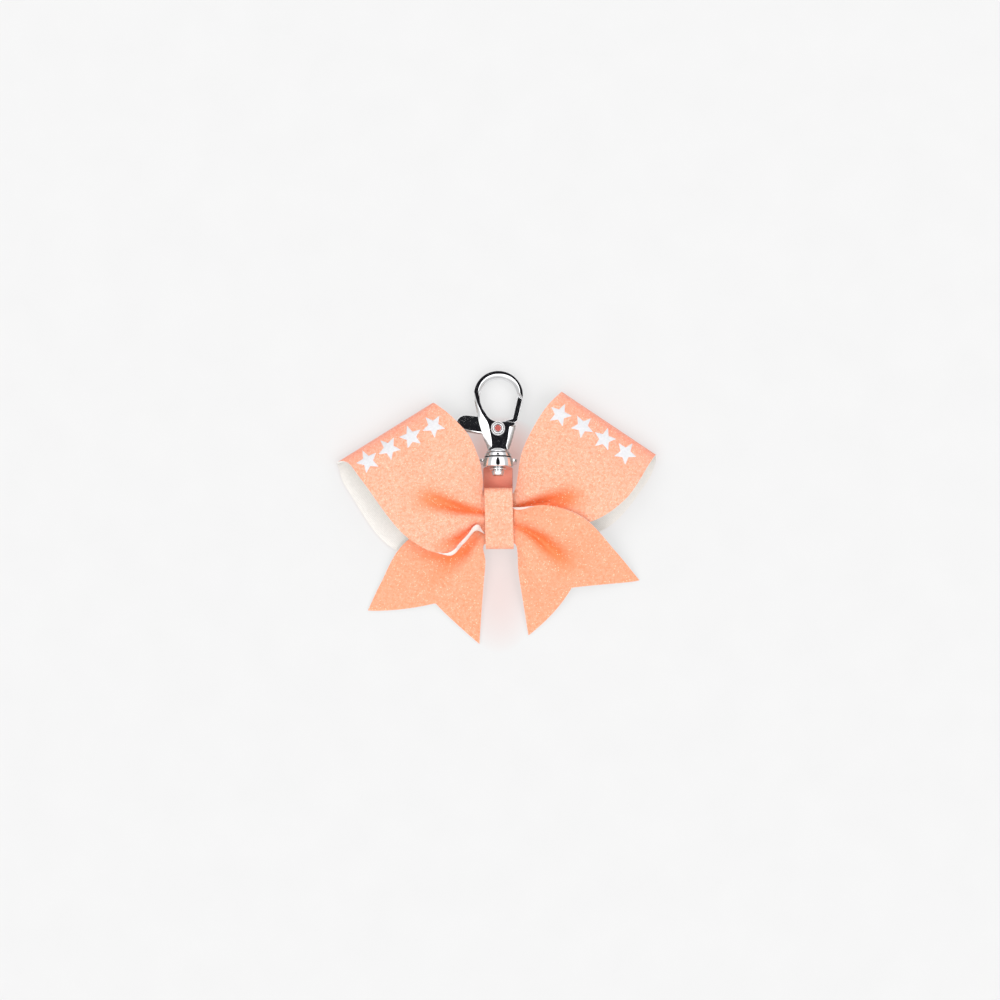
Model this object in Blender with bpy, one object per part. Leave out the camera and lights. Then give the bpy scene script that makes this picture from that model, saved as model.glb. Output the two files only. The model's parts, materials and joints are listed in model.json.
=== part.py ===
"""Mini cheer bow with a swivel clasp, lying on its back.

Units are metres. X is to the right and Y is towards the clasp's nose, seen from above; Z is up.
The origin is on the table, under the middle of the centre band. Lengths in the tables and the
driving dimensions are in millimetres and go through mm().
"""

import math

import bmesh
import bpy
import numpy as np
from mathutils import Vector

MM = 0.001

# Ribbon: one strip 38 mm wide, from the left tail to the right tail.
RIBBON_THICKNESS = 0.8
NOTCH_DEPTH = 11.0
STATION_LENGTH = 12.0
OUTER_ARM_BOW = 1.25
LEFT_APEX = 0.55
RIGHT_APEX = 0.5
STEPS_PER_STATION = 3
STEPS_ACROSS = 10

# Centre stack
BAND_WIDTH = 9.3
BAND_LEAN = 0.55
BAND_TOP_Y = 9.8
BAND_BOTTOM_Y = -10.7
BAND_BASE_Z = 2.1
BAND_TOP_Z = 9.3
BAND_THICKNESS = 0.6
BAND_CORNER = 2.2
THREAD_RADIUS = 0.3
THREAD_CLEARANCE = 0.25

# Strap
STRAP_WIDTH = 9.9
STRAP_THICKNESS = 0.5
STRAP_END_Y = -8.0

# Clasp. Its long axis starts at the eye and drops gently towards the nose.
CLASP_X = -0.35
EYE_BAR_Y = 18.1
EYE_BAR_RADIUS = 0.6
BAR_CLEARANCE = 0.45
BIGHT_RADIUS = EYE_BAR_RADIUS + BAR_CLEARANCE + STRAP_THICKNESS / 2
EYE_BAR_Z = BIGHT_RADIUS + STRAP_THICKNESS / 2
AXIS_HEIGHT = 5.05
CLASP_DROP_DEG = 8.4
BODY_FRONT_Z = 2.4
BODY_BACK_Z = -2.0
CHAMFER_DEPTH = 0.85
BACK_CHAMFER_DEPTH = 0.5
SLOT_HALF = 1.25
LEVER_HALF = 1.0
PIN_Y = 10.6
PIN_RADIUS = 0.8
PIN_HOLE_RADIUS = 1.0
EYELET_RADIUS = 2.3
SHANK_HOLE_RADIUS = 1.85
HOOK_RADIUS = 8.35
HOOK_CENTRE = (0.1, 21.85)
HOLE_RADIUS = 6.3
HOLE_CENTRE = (0.2, 21.6)
CUTTER_REACH = 4.0
CHROME = ((0.8, 0.8, 0.8), 0.08, 1.0)

# Motifs: five-pointed stars beside each fold
STAR_RADIUS = 4.0
STAR_WAIST = 0.44
STAR_SPOKES = 20
STAR_THICKNESS = 0.3
STAR_GAP = 0.3
STAR_SHARES = (0.10, 0.32, 0.54, 0.76)
STAR_INSETS = (6.8, 5.9, 5.3, 5.2)
STAR_TURNS_DEG = (10.0, -12.0, 16.0, -4.0)

# Stations along the strip. Each one gives edge A (upper or outer), edge B (lower or inner) and
# how far the middle of the strip stands above the straight line between them.
STATIONS = [
    # left tail, from its end to the band
    ((-44.1, -31.4, 0.7), (-6.6, -42.7, 0.7), 0.0),
    ((-39.6, -22.0, 1.6), (-6.0, -33.0, 1.3), 0.4),
    ((-32.4, -9.5, 3.6), (-5.2, -22.5, 2.9), 0.8),
    ((-18.0, 1.0, 4.9), (-4.6, -15.0, 4.1), 0.5),
    ((-5.2, 5.4, 5.7), (-5.0, -9.3, 5.3), 0.1),
    ((0.0, 7.6, 5.6), (0.1, -8.5, 5.6), 0.0),
    # right loop, front leaf
    ((5.2, 8.4, 5.9), (5.7, -6.6, 5.4), 0.3),
    ((7.6, 21.0, 9.0), (17.0, -3.6, 7.4), 1.6),
    ((11.6, 30.0, 11.2), (31.5, -1.1, 10.2), 2.0),
    ((15.9, 36.8, 10.8), (42.6, 6.6, 10.4), 1.2),
    ((19.8, 40.8, 7.8), (50.3, 18.0, 7.8), 0.5),
    ((20.9, 41.8, 4.4), (52.6, 20.6, 4.4), 0.0),
    ((20.0, 40.4, 1.2), (52.3, 17.4, 1.2), 0.0),
    # back leaf, from the right fold to the left fold
    ((16.5, 34.0, 0.8), (49.0, 10.6, 0.8), 0.0),
    ((11.0, 21.5, 0.9), (36.5, -3.5, 0.9), 0.0),
    ((7.6, 12.5, 2.6), (14.0, -11.5, 2.4), 0.1),
    ((5.2, 7.8, 4.0), (5.2, -8.6, 4.0), 0.0),
    ((-5.2, 7.8, 4.0), (-5.2, -8.6, 4.0), 0.0),
    ((-8.2, 12.5, 2.6), (-14.0, -12.0, 2.4), 0.1),
    ((-12.5, 21.5, 0.9), (-36.0, -10.4, 0.9), 0.0),
    ((-16.5, 31.5, 0.8), (-50.8, 9.0, 0.8), 0.0),
    # left loop, front leaf
    ((-21.3, 37.0, 1.2), (-53.7, 16.0, 1.2), 0.0),
    ((-22.2, 38.0, 4.4), (-54.0, 18.2, 4.4), 0.0),
    ((-20.7, 37.4, 7.9), (-50.2, 17.9, 8.0), 0.5),
    ((-15.8, 33.5, 10.9), (-45.4, 12.0, 10.6), 1.2),
    ((-10.2, 27.3, 11.6), (-31.8, -5.6, 10.6), 2.0),
    ((-6.9, 19.8, 10.3), (-18.0, -12.9, 8.8), 1.7),
    ((-6.0, 15.6, 9.4), (-12.2, -9.0, 8.8), 1.2),
    ((-5.5, 12.0, 8.5), (-8.0, -4.4, 8.2), 0.6),
    ((-5.3, 8.6, 7.5), (-5.1, -5.7, 7.1), 0.3),
    ((0.0, 7.0, 7.0), (0.0, -8.4, 7.0), 0.0),
    # right tail, from the band to its end
    ((5.2, 3.2, 7.6), (5.7, -9.3, 6.9), 0.2),
    ((16.5, 3.9, 11.6), (6.7, -19.0, 5.6), 0.9),
    ((28.4, -0.4, 12.6), (8.0, -27.5, 3.2), 0.8),
    ((38.8, -11.2, 6.6), (9.1, -34.6, 1.3), 0.4),
    ((47.2, -21.2, 0.7), (9.9, -39.8, 0.7), 0.0),
]
TAIL_STATIONS = 2
RIGHT_FOLD = 11
LEFT_FOLD = 22


def mm(*values):
    """Metres from millimetres: a number from one value, a vector from three."""
    if len(values) == 1:
        return values[0] * MM
    return Vector(values) * MM


def clear_scene():
    for obj in list(bpy.data.objects):
        bpy.data.objects.remove(obj, do_unlink=True)


def finish_material(obj, colour, roughness, metallic=0.0):
    material = bpy.data.materials.new(obj.name)
    material.use_nodes = True
    shader = material.node_tree.nodes["Principled BSDF"]
    shader.inputs["Base Color"].default_value = (*colour, 1.0)
    shader.inputs["Roughness"].default_value = roughness
    shader.inputs["Metallic"].default_value = metallic
    obj.data.materials.append(material)
    return obj


def mesh_object(name, bm, smooth_angle=None):
    """A mesh object from bm, with its faces turned outwards."""
    bmesh.ops.recalc_face_normals(bm, faces=bm.faces)
    if bm.calc_volume(signed=True) < 0:
        bmesh.ops.reverse_faces(bm, faces=bm.faces)
    mesh = bpy.data.meshes.new(name)
    bm.to_mesh(mesh)
    bm.free()
    if smooth_angle is not None:
        mesh.shade_smooth()
        mesh.set_sharp_from_angle(angle=math.radians(smooth_angle))
    obj = bpy.data.objects.new(name, mesh)
    bpy.context.collection.objects.link(obj)
    return obj


def boolean(obj, cutter, operation="DIFFERENCE"):
    modifier = obj.modifiers.new(cutter.name, "BOOLEAN")
    modifier.operation = operation
    modifier.object = cutter
    modifier.solver = "EXACT"
    cutter.hide_render = True
    cutter.display_type = "WIRE"


def parent_to(parent, *children):
    for child in children:
        child.parent = parent


# ---------------------------------------------------------------- the ribbon strip


def catmull_rom(rows, u):
    """A smooth curve through rows at station number u."""
    last = len(rows) - 1
    i = min(int(u), last - 1)
    f = u - i
    p1, p2 = rows[i], rows[i + 1]
    p0 = rows[i - 1] if i > 0 else 2 * p1 - p2
    p3 = rows[i + 2] if i + 2 <= last else 2 * p2 - p1
    return 0.5 * (
        2 * p1
        + (p2 - p0) * f
        + (2 * p0 - 5 * p1 + 4 * p2 - p3) * f * f
        + (3 * p1 - p0 - 3 * p2 + p3) * f ** 3
    )


STATION_ROWS = np.array([[*a, *b, crown] for a, b, crown in STATIONS])


def ribbon_point(u, t):
    """The middle of the strip's thickness, in mm: u is the station, t runs from 0 at A to 1 at B."""
    row = catmull_rom(STATION_ROWS, u)
    point = row[:3] * (1 - t) + row[3:6] * t
    point[2] += row[6] * 4 * t * (1 - t)
    return point


def ribbon_normal(u, t):
    """Unit normal on the glitter side."""
    h = 0.02
    last = len(STATIONS) - 1
    along = ribbon_point(min(u + h, last), t) - ribbon_point(max(u - h, 0), t)
    across = ribbon_point(u, min(t + h, 1)) - ribbon_point(u, max(t - h, 0))
    normal = np.cross(across, along)
    return normal / np.linalg.norm(normal)


def notch_depth(t, apex):
    """The V notch's depth in stations, at t. The outer arm bows a little."""
    share = min(t / apex, (1 - t) / (1 - apex))
    return NOTCH_DEPTH / STATION_LENGTH * share ** (OUTER_ARM_BOW if t < apex else 1.0)


def notched(u, t):
    """Station number of the same grid line once the tail's V notch has pushed it inwards."""
    last = len(STATIONS) - 1
    if u < TAIL_STATIONS:
        depth = notch_depth(t, LEFT_APEX)
        return depth + u * (TAIL_STATIONS - depth) / TAIL_STATIONS
    if u > last - TAIL_STATIONS:
        depth = notch_depth(t, RIGHT_APEX)
        return last - depth - (last - u) * (TAIL_STATIONS - depth) / TAIL_STATIONS
    return u


def make_ribbon():
    last = len(STATIONS) - 1
    count = last * STEPS_PER_STATION + 1
    bm = bmesh.new()
    sides = []
    for side in (0.5, -0.5):
        grid = []
        for i in range(count):
            row = []
            for j in range(STEPS_ACROSS + 1):
                t = j / STEPS_ACROSS
                u = notched(last * i / (count - 1), t)
                point = ribbon_point(u, t) + ribbon_normal(u, t) * side * RIBBON_THICKNESS
                row.append(bm.verts.new(mm(*point)))
            grid.append(row)
        sides.append(grid)
    top, bottom = sides
    for i in range(count - 1):
        for j in range(STEPS_ACROSS):
            bm.faces.new((top[i][j], top[i + 1][j], top[i + 1][j + 1], top[i][j + 1]))
            bm.faces.new((bottom[i][j], bottom[i][j + 1], bottom[i + 1][j + 1], bottom[i + 1][j]))
        for j in (0, STEPS_ACROSS):
            bm.faces.new((top[i][j], top[i + 1][j], bottom[i + 1][j], bottom[i][j]))
    for i in (0, count - 1):
        for j in range(STEPS_ACROSS):
            bm.faces.new((top[i][j], top[i][j + 1], bottom[i][j + 1], bottom[i][j]))
    return finish_material(mesh_object("bow_ribbon", bm, 40), (0.93, 0.42, 0.28), 0.45)


# ---------------------------------------------------------------- the centre stack


def rounded_rectangle(low_a, high_a, low_b, high_b, radius, steps=4):
    """Points round a rectangle with round corners, as (a, b) pairs."""
    points = []
    corners = (
        (high_a - radius, high_b - radius, 0),
        (low_a + radius, high_b - radius, 90),
        (low_a + radius, low_b + radius, 180),
        (high_a - radius, low_b + radius, 270),
    )
    for centre_a, centre_b, start in corners:
        for k in range(steps + 1):
            angle = math.radians(start + 90 * k / steps)
            points.append((centre_a + radius * math.cos(angle), centre_b + radius * math.sin(angle)))
    return points


def band_loop(inset):
    """The band's section round the stack in Y and Z, inset from its outer face."""
    return rounded_rectangle(
        BAND_BOTTOM_Y + inset,
        BAND_TOP_Y - inset,
        BAND_BASE_Z + inset,
        BAND_TOP_Z - inset,
        BAND_CORNER - inset,
    )


def band_lean(y):
    """The band's sideways lean: its lower end stands to the right of its upper end."""
    return -BAND_LEAN * (y - (BAND_TOP_Y + BAND_BOTTOM_Y) / 2) / (BAND_TOP_Y - BAND_BOTTOM_Y)


def make_band():
    bm = bmesh.new()
    rings = []
    for inset, x in (
        (0.0, -BAND_WIDTH / 2),
        (0.0, BAND_WIDTH / 2),
        (BAND_THICKNESS, BAND_WIDTH / 2),
        (BAND_THICKNESS, -BAND_WIDTH / 2),
    ):
        rings.append([bm.verts.new(mm(x + band_lean(y), y, z)) for y, z in band_loop(inset)])
    for k in range(4):
        first, second = rings[k], rings[(k + 1) % 4]
        for i in range(len(first)):
            n = (i + 1) % len(first)
            bm.faces.new((first[i], first[n], second[n], second[i]))
    return finish_material(mesh_object("centre_band", bm, 35), (0.93, 0.42, 0.28), 0.45)


def make_thread():
    """The thread as a ring of round section, just inside the band."""
    inset = BAND_THICKNESS + THREAD_CLEARANCE + THREAD_RADIUS
    path = [Vector((0.0, y, z)) for y, z in band_loop(inset)]
    bm = bmesh.new()
    sides = 6
    centre = sum(path, Vector()) / len(path)
    rings = []
    for i, point in enumerate(path):
        ahead = (path[(i + 1) % len(path)] - path[i - 1]).normalized()
        out = ahead.cross(Vector((1, 0, 0)))
        if out.dot(point - centre) < 0:
            out = -out
        ring = []
        for k in range(sides):
            angle = math.tau * k / sides
            offset = out * math.cos(angle) + Vector((1, 0, 0)) * math.sin(angle)
            ring.append(bm.verts.new((point + offset * THREAD_RADIUS) * MM))
        rings.append(ring)
    for i in range(len(rings)):
        first, second = rings[i], rings[(i + 1) % len(rings)]
        for k in range(sides):
            n = (k + 1) % sides
            bm.faces.new((first[k], first[n], second[n], second[k]))
    return finish_material(mesh_object("gather_thread", bm, 60), (0.9, 0.88, 0.85), 0.7)


def make_box(name, low, high, bevel=0.0):
    """A block between two corners in mm, with its edges rounded by bevel."""
    bm = bmesh.new()
    bmesh.ops.create_cube(bm, size=1.0)
    for vert in bm.verts:
        for axis in range(3):
            vert.co[axis] = mm(low[axis] if vert.co[axis] < 0 else high[axis])
    if bevel:
        bmesh.ops.bevel(
            bm,
            geom=list(bm.edges),
            offset=mm(bevel),
            segments=2,
            affect="EDGES",
            profile=0.5,
        )
    return mesh_object(name, bm)


def strip_solid(name, path, half_width, thickness, centre_x):
    """A flat ribbon along path, (y, z) pairs in mm, as one closed solid."""
    bm = bmesh.new()
    rows = []
    for i, (y, z) in enumerate(path):
        y0, z0 = path[max(i - 1, 0)]
        y1, z1 = path[min(i + 1, len(path) - 1)]
        length = math.hypot(y1 - y0, z1 - z0)
        out_y, out_z = -(z1 - z0) / length, (y1 - y0) / length
        row = []
        for side, x in ((1, -1), (1, 1), (-1, 1), (-1, -1)):
            offset = side * thickness / 2
            row.append(bm.verts.new(mm(centre_x + x * half_width, y + out_y * offset, z + out_z * offset)))
        rows.append(row)
    for first, second in zip(rows, rows[1:]):
        for k in range(4):
            n = (k + 1) % 4
            bm.faces.new((first[k], first[n], second[n], second[k]))
    bm.faces.new(rows[0])
    bm.faces.new(rows[-1])
    return mesh_object(name, bm, 40)


def make_strap():
    """The tab: round the eye's bar, with both ends flat on each other under the band."""
    flat_z = STRAP_THICKNESS / 2
    layer_z = flat_z + STRAP_THICKNESS + 0.3
    bight_top = EYE_BAR_Z + BIGHT_RADIUS
    path = [(STRAP_END_Y + 1.5, layer_z), (8.0, layer_z), (11.0, layer_z + 0.3), (14.5, bight_top - 0.25)]
    for k in range(9):
        angle = math.radians(90 - 22.5 * k)
        path.append((EYE_BAR_Y + BIGHT_RADIUS * math.cos(angle), EYE_BAR_Z + BIGHT_RADIUS * math.sin(angle)))
    path.append((STRAP_END_Y, flat_z))
    strap = strip_solid("hanger_strap", path, STRAP_WIDTH / 2, STRAP_THICKNESS, CLASP_X)
    return finish_material(strap, (0.73, 0.2, 0.14), 0.75)


def make_glue_pad():
    """Glue between the strap's ends and the back of the band."""
    low_z = 2 * STRAP_THICKNESS + 0.5
    pad = make_box("glue_pad", (-3.6, -4.5, low_z), (3.0, 7.0, BAND_BASE_Z - 0.2), 0.1)
    return finish_material(pad, (0.9, 0.86, 0.75), 0.3)


# ---------------------------------------------------------------- the motifs


def leaf_place(x, y, fold, away):
    """Station and t of the front leaf's point above (x, y). The leaf leaves its fold towards away."""
    u, t = fold + 2.0 * away, 0.5
    h = 0.01
    for _ in range(25):
        here = ribbon_point(u, t)[:2]
        du = (ribbon_point(u + h, t)[:2] - here) / h
        dt = (ribbon_point(u, t + h)[:2] - here) / h
        step = np.linalg.solve(np.array([du, dt]).T, np.array([x, y]) - here)
        u += np.clip(step[0], -0.3, 0.3)
        t += np.clip(step[1], -0.2, 0.2)
        u = fold + away * max(0.5, (u - fold) * away)
    return u, t


def star_reach(k):
    """The star's outline as a share of its radius, at one of STAR_SPOKES directions."""
    if k % 4 == 0:
        return 1.0
    if k % 4 == 2:
        return STAR_WAIST
    return 0.92 * 2 * STAR_WAIST / (1 + STAR_WAIST)


def make_star(name, x, y, turn, fold, away):
    """A thin star that follows the leaf's surface."""
    bm = bmesh.new()
    layers = []
    for lift in (STAR_GAP, STAR_GAP + STAR_THICKNESS):
        rings = []
        for share in (0.0, 0.4, 0.72, 1.0):
            ring = []
            for k in range(STAR_SPOKES if share else 1):
                angle = turn + math.tau * k / STAR_SPOKES
                r = STAR_RADIUS * star_reach(k) * share
                place = leaf_place(x + r * math.cos(angle), y + r * math.sin(angle), fold, away)
                point = ribbon_point(*place) + ribbon_normal(*place) * (RIBBON_THICKNESS / 2 + lift)
                ring.append(bm.verts.new(mm(*point)))
            rings.append(ring)
        layers.append(rings)
    for rings in layers:
        for k in range(STAR_SPOKES):
            n = (k + 1) % STAR_SPOKES
            bm.faces.new((rings[0][0], rings[1][k], rings[1][n]))
            for inner, outer in zip(rings[1:], rings[2:]):
                bm.faces.new((inner[k], outer[k], outer[n], inner[n]))
    lower, upper = layers[0][-1], layers[1][-1]
    for k in range(STAR_SPOKES):
        n = (k + 1) % STAR_SPOKES
        bm.faces.new((lower[k], lower[n], upper[n], upper[k]))
    return finish_material(mesh_object(name, bm), (0.9, 0.9, 0.89), 0.35)


def make_stars():
    """Four stars in a row just inside each fold, from its upper end."""
    for side, fold, away in (("left", LEFT_FOLD, 1), ("right", RIGHT_FOLD, -1)):
        start, end = (np.array(edge[:2]) for edge in STATIONS[fold][:2])
        along = (end - start) / np.linalg.norm(end - start)
        inward = np.array([-along[1], along[0]]) * away
        up = math.atan2(-inward[1], -inward[0])
        for n, (share, inset, turn) in enumerate(zip(STAR_SHARES, STAR_INSETS, STAR_TURNS_DEG)):
            x, y = start + (end - start) * share + inward * inset
            make_star(f"star_{side}_{n + 1}", x, y, up + math.radians(turn), fold, away)


# ---------------------------------------------------------------- the clasp
# Every piece is modelled about the hook's long axis: local +Y runs from the barrel's middle
# towards the nose, local +Z faces up. The empty on the strap's bar carries the slope of them all.


def plate(name, outline, low_z, high_z):
    """A flat piece with the given outline in mm."""
    bm = bmesh.new()
    bottom = [bm.verts.new(mm(x, y, low_z)) for x, y in outline]
    top = [bm.verts.new(mm(x, y, high_z)) for x, y in outline]
    bm.faces.new(bottom)
    bm.faces.new(top)
    for i in range(len(outline)):
        n = (i + 1) % len(outline)
        bm.faces.new((bottom[i], bottom[n], top[n], top[i]))
    return mesh_object(name, bm)


def arc(cx, cy, radius, start, end, steps):
    """Points on an arc, from start to end in degrees."""
    points = []
    for k in range(steps + 1):
        angle = math.radians(start + (end - start) * k / steps)
        points.append((cx + radius * math.cos(angle), cy + radius * math.sin(angle)))
    return points


def turned(name, profile, axis="Y", sides=32):
    """A round piece about the local Y or Z axis from (radius, height) pairs in mm, bottom to top."""
    bm = bmesh.new()
    rings = []
    for radius, height in profile:
        ring = []
        for k in range(sides if radius > 0 else 1):
            angle = math.tau * k / sides
            a, b = radius * math.cos(angle), radius * math.sin(angle)
            ring.append(bm.verts.new(mm(a, height, b) if axis == "Y" else mm(a, b, height)))
        rings.append(ring)
    pairs = list(zip(rings, rings[1:]))
    if len(rings[0]) > 1 and len(rings[-1]) > 1:
        pairs.append((rings[-1], rings[0]))
    for first, second in pairs:
        for k in range(sides):
            n = (k + 1) % sides
            lower = [first[k % len(first)], first[n % len(first)]]
            upper = [second[n % len(second)], second[k % len(second)]]
            bm.faces.new(list(dict.fromkeys(lower + upper)))
    return mesh_object(name, bm, 35)


def drill(name, radius, low, high, axis="Y"):
    """A round cutter about the local Y or Z axis."""
    return turned(name, [(0.0, low), (radius, low), (radius, high), (0.0, high)], axis, 24)


def soften(obj, width, segments=2, angle=30):
    modifier = obj.modifiers.new("edges", "BEVEL")
    modifier.width = mm(width)
    modifier.segments = segments
    modifier.limit_method = "ANGLE"
    modifier.angle_limit = math.radians(angle)


def make_eye():
    """Barrel, two ears and the bar that the strap goes round."""
    bar_z = -AXIS_HEIGHT
    profile = [
        (0.0, -2.5),
        (4.7, -2.5),
        (5.2, -2.15),
        (5.2, 0.65),
        (4.95, 0.85),
        (4.4, 0.95),
        (4.4, 1.15),
        (4.6, 1.3),
        (4.6, 2.15),
        (4.4, 2.3),
        (0.0, 2.3),
    ]
    eye = turned("swivel_eye", profile, sides=40)
    trim = make_box("eye_trim", (-7, -6, -9), (7, 6, -2.45))
    boolean(eye, trim)
    outer = rounded_rectangle(-6.45, 6.45, bar_z - EYE_BAR_RADIUS, 1.2, 1.6)
    inner = rounded_rectangle(-5.25, 5.25, bar_z + EYE_BAR_RADIUS, -2.35, 0.5)
    frame = slab_ring("eye_frame", outer, inner, -EYE_BAR_RADIUS, EYE_BAR_RADIUS)
    soften(frame, 0.25, 2)
    boolean(eye, frame, "UNION")
    bore = drill("eye_bore", SHANK_HOLE_RADIUS, -CUTTER_REACH, CUTTER_REACH)
    boolean(eye, bore)
    for helper in (trim, frame, bore):
        helper.parent = eye
    return finish_material(eye, *CHROME)


def slab_ring(name, outer, inner, low_y, high_y):
    """A flat ring between two outlines in X and Z."""
    bm = bmesh.new()
    loops = []
    for outline, y in ((outer, low_y), (outer, high_y), (inner, high_y), (inner, low_y)):
        loops.append([bm.verts.new(mm(x, y, z)) for x, z in outline])
    for k in range(4):
        first, second = loops[k], loops[(k + 1) % 4]
        for i in range(len(first)):
            n = (i + 1) % len(first)
            bm.faces.new((first[i], first[n], second[n], second[i]))
    return mesh_object(name, bm)


def make_rivet():
    """Shank through the barrel, with a stepped round head on the strap side."""
    profile = [
        (0.0, -5.3),
        (1.5, -5.3),
        (1.95, -4.95),
        (1.95, -3.95),
        (2.2, -3.8),
        (2.2, -3.55),
        (1.6, -3.5),
        (1.6, 5.2),
        (0.0, 5.2),
    ]
    return finish_material(turned("swivel_rivet", profile, sides=28), *CHROME)


def make_washer():
    washer = turned("eye_washer", [(1.8, -3.2), (2.8, -3.2), (2.8, -2.75), (1.8, -2.75)], sides=28)
    return finish_material(washer, *CHROME)


def ring_rows(start, end, steps, rim):
    """Hook rows on the outside of the ring, or on its hole, with their rims' widths by angle."""
    rows = []
    outside = rim is outer_rim
    (cx, cy), radius = (HOOK_CENTRE, HOOK_RADIUS) if outside else (HOLE_CENTRE, HOLE_RADIUS)
    for k in range(steps + 1):
        angle = math.radians(start + (end - start) * k / steps)
        inner = radius + (-rim(angle) if outside else rim(angle))
        c, s = math.cos(angle), math.sin(angle)
        rows.append((cx + radius * c, cy + radius * s, cx + inner * c, cy + inner * s))
    return rows


def outer_rim(angle):
    """Narrow round the nose and the top, wider where the ring comes down on the left."""
    return 0.12 + 0.12 * max(0.0, -math.cos(angle)) ** 8


def hole_rim(angle):
    """Widest at the top of the hole and narrow where it meets the left arm."""
    return 0.1 + 1.15 * max(0.0, math.sin(angle)) ** 0.5 + 0.35 * max(0.0, math.cos(angle))


def hook_rows():
    """The hook's edge with the front face's edge beside it, up the right side and back inside."""
    rows = [(3.7, 3.5, 3.1, 3.6), (4.05, 4.6, 2.8, 4.7), (4.8, 6.95, 3.35, 7.1), (5.5, 9.8, 3.7, 9.9)]
    rows += [(5.8, 11.2, 3.85, 11.2), (5.9, 11.8, 5.3, 11.75), (5.95, 12.2, 5.7, 12.1)]
    rows += [(5.6, 12.7, 5.4, 12.5), (3.6, 12.95, 3.5, 12.82), (0.6, 12.9, 0.6, 12.78)]
    for x, y in arc(0.35, 17.7, 4.8, 262, 205, 5):
        rows.append((x, y, 0.35 + (x - 0.35) * 1.025, 17.7 + (y - 17.7) * 1.025))
    rows += [(-5.1, 17.3, -5.2, 17.25), (-5.85, 19.4, -5.97, 19.37)]
    rows += ring_rows(184, 8.5, 18, hole_rim)
    rows += ring_rows(-4.8, 172, 20, outer_rim)
    rows += [(-8.0, 20.85, -7.35, 20.8), (-7.75, 19.5, -6.95, 19.4), (-7.45, 18.2, -6.55, 18.1)]
    rows += [(-6.95, 15.7, -5.4, 15.6), (-6.4, 13.05, -3.6, 12.9), (-6.05, 11.75, -3.0, 11.6)]
    rows += [(-4.85, 7.9, -2.35, 7.8), (-3.9, 5.3, -2.05, 5.2)]
    rows += [(-3.6, 4.4, -2.1, 4.5), (-3.4, 3.5, -3.0, 3.6)]
    return rows


def make_hook_plate():
    """The hook as a plate: back face, two edges and a smaller front face with sloping rims."""
    loops = [[], [], [], []]
    for x, y, face_x, face_y in hook_rows():
        rim = math.hypot(face_x - x, face_y - y)
        edge_z = BODY_FRONT_Z - min(CHAMFER_DEPTH, 0.3 + 0.75 * rim)
        back = min(0.35, 0.4 * rim) / rim
        loops[0].append((x + (face_x - x) * back, y + (face_y - y) * back, BODY_BACK_Z))
        loops[1].append((x, y, BODY_BACK_Z + BACK_CHAMFER_DEPTH))
        loops[2].append((x, y, edge_z))
        loops[3].append((face_x, face_y, BODY_FRONT_Z))
    bm = bmesh.new()
    loops = [[bm.verts.new(mm(*point)) for point in loop] for loop in loops]
    bm.faces.new(loops[0])
    bm.faces.new(loops[3])
    for lower, upper in zip(loops, loops[1:]):
        for i in range(len(lower)):
            n = (i + 1) % len(lower)
            bm.faces.new((lower[i], lower[n], upper[n], upper[i]))
    return mesh_object("hook_body", bm)


def make_hook_body():
    body = make_hook_plate()
    profile = [
        (0.0, 2.6),
        (3.9, 2.6),
        (4.1, 2.8),
        (4.0, 3.05),
        (3.6, 3.25),
        (3.2, 3.45),
        (2.8, 3.75),
        (2.3, 3.95),
        (0.0, 4.0),
    ]
    collar = turned("hook_collar", profile)
    boolean(body, collar, "UNION")
    slot = plate(
        "hook_slot",
        [(-9.5, 15.4), (-9.5, 6.2), (-1.8, 6.1), (1.5, 7.6), (3.0, 9.6), (9.0, 11.0), (9.0, 15.4)],
        -SLOT_HALF,
        SLOT_HALF,
    )
    boolean(body, slot)
    rivet_hole = drill("hook_rivet_hole", SHANK_HOLE_RADIUS, 1.0, 5.5)
    boolean(body, rivet_hole)
    pin_hole = drill("hook_pin_hole", PIN_HOLE_RADIUS, -CUTTER_REACH, CUTTER_REACH, "Z")
    pin_hole.location = mm(0, PIN_Y, 0)
    boolean(body, pin_hole)
    for helper in (collar, slot, rivet_hole, pin_hole):
        helper.parent = body
    return finish_material(body, *CHROME)


def make_pin():
    """Eyelet pin: a dished head on the front, a peened end at the back."""
    front = BODY_FRONT_Z + 0.2
    back = BODY_BACK_Z - 0.2
    profile = [
        (0.0, back - 0.45),
        (1.15, back - 0.4),
        (1.45, back),
        (PIN_RADIUS, back),
        (PIN_RADIUS, front),
        (EYELET_RADIUS, front),
        (EYELET_RADIUS, front + 0.2),
        (EYELET_RADIUS - 0.2, front + 0.45),
        (EYELET_RADIUS - 0.45, front + 0.2),
        (1.5, front + 0.2),
        (1.05, front + 0.12),
        (0.0, front + 0.1),
    ]
    pin = turned("pivot_pin", profile, "Z", 24)
    pin.location = mm(0, PIN_Y, 0)
    return finish_material(pin, *CHROME)


def make_lever():
    """Hub on the pin, gate to the hook's nose and thumb tab to the left, about the pin's axis."""
    hub = arc(0, 0, 2.6, -120, -20, 6)
    gate = [(5.2, 1.9), (6.6, 2.6), (8.4, 10.1), (6.6, 11.35), (4.8, 3.6)]
    floor = [(1.0, 2.45), (-3.0, 2.6), (-6.2, 4.35)]
    tab = [(-10.7, 4.85), (-12.3, 4.5), (-13.6, 3.4), (-14.0, 2.2), (-13.4, 0.5), (-11.7, -0.9), (-5.8, -1.8)]
    lever = plate("trigger_lever", hub + gate + floor + tab, -LEVER_HALF, LEVER_HALF)
    soften(lever, 0.2, 2, 25)
    hole = drill("lever_hole", PIN_HOLE_RADIUS, -CUTTER_REACH, CUTTER_REACH, "Z")
    boolean(lever, hole)
    recess = drill("lever_recess", 2.0, -CUTTER_REACH, 0.3, "Z")
    boolean(lever, recess)
    for helper in (hole, recess):
        helper.parent = lever
    lever.location = mm(0, PIN_Y, 0)
    return finish_material(lever, *CHROME)


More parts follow.
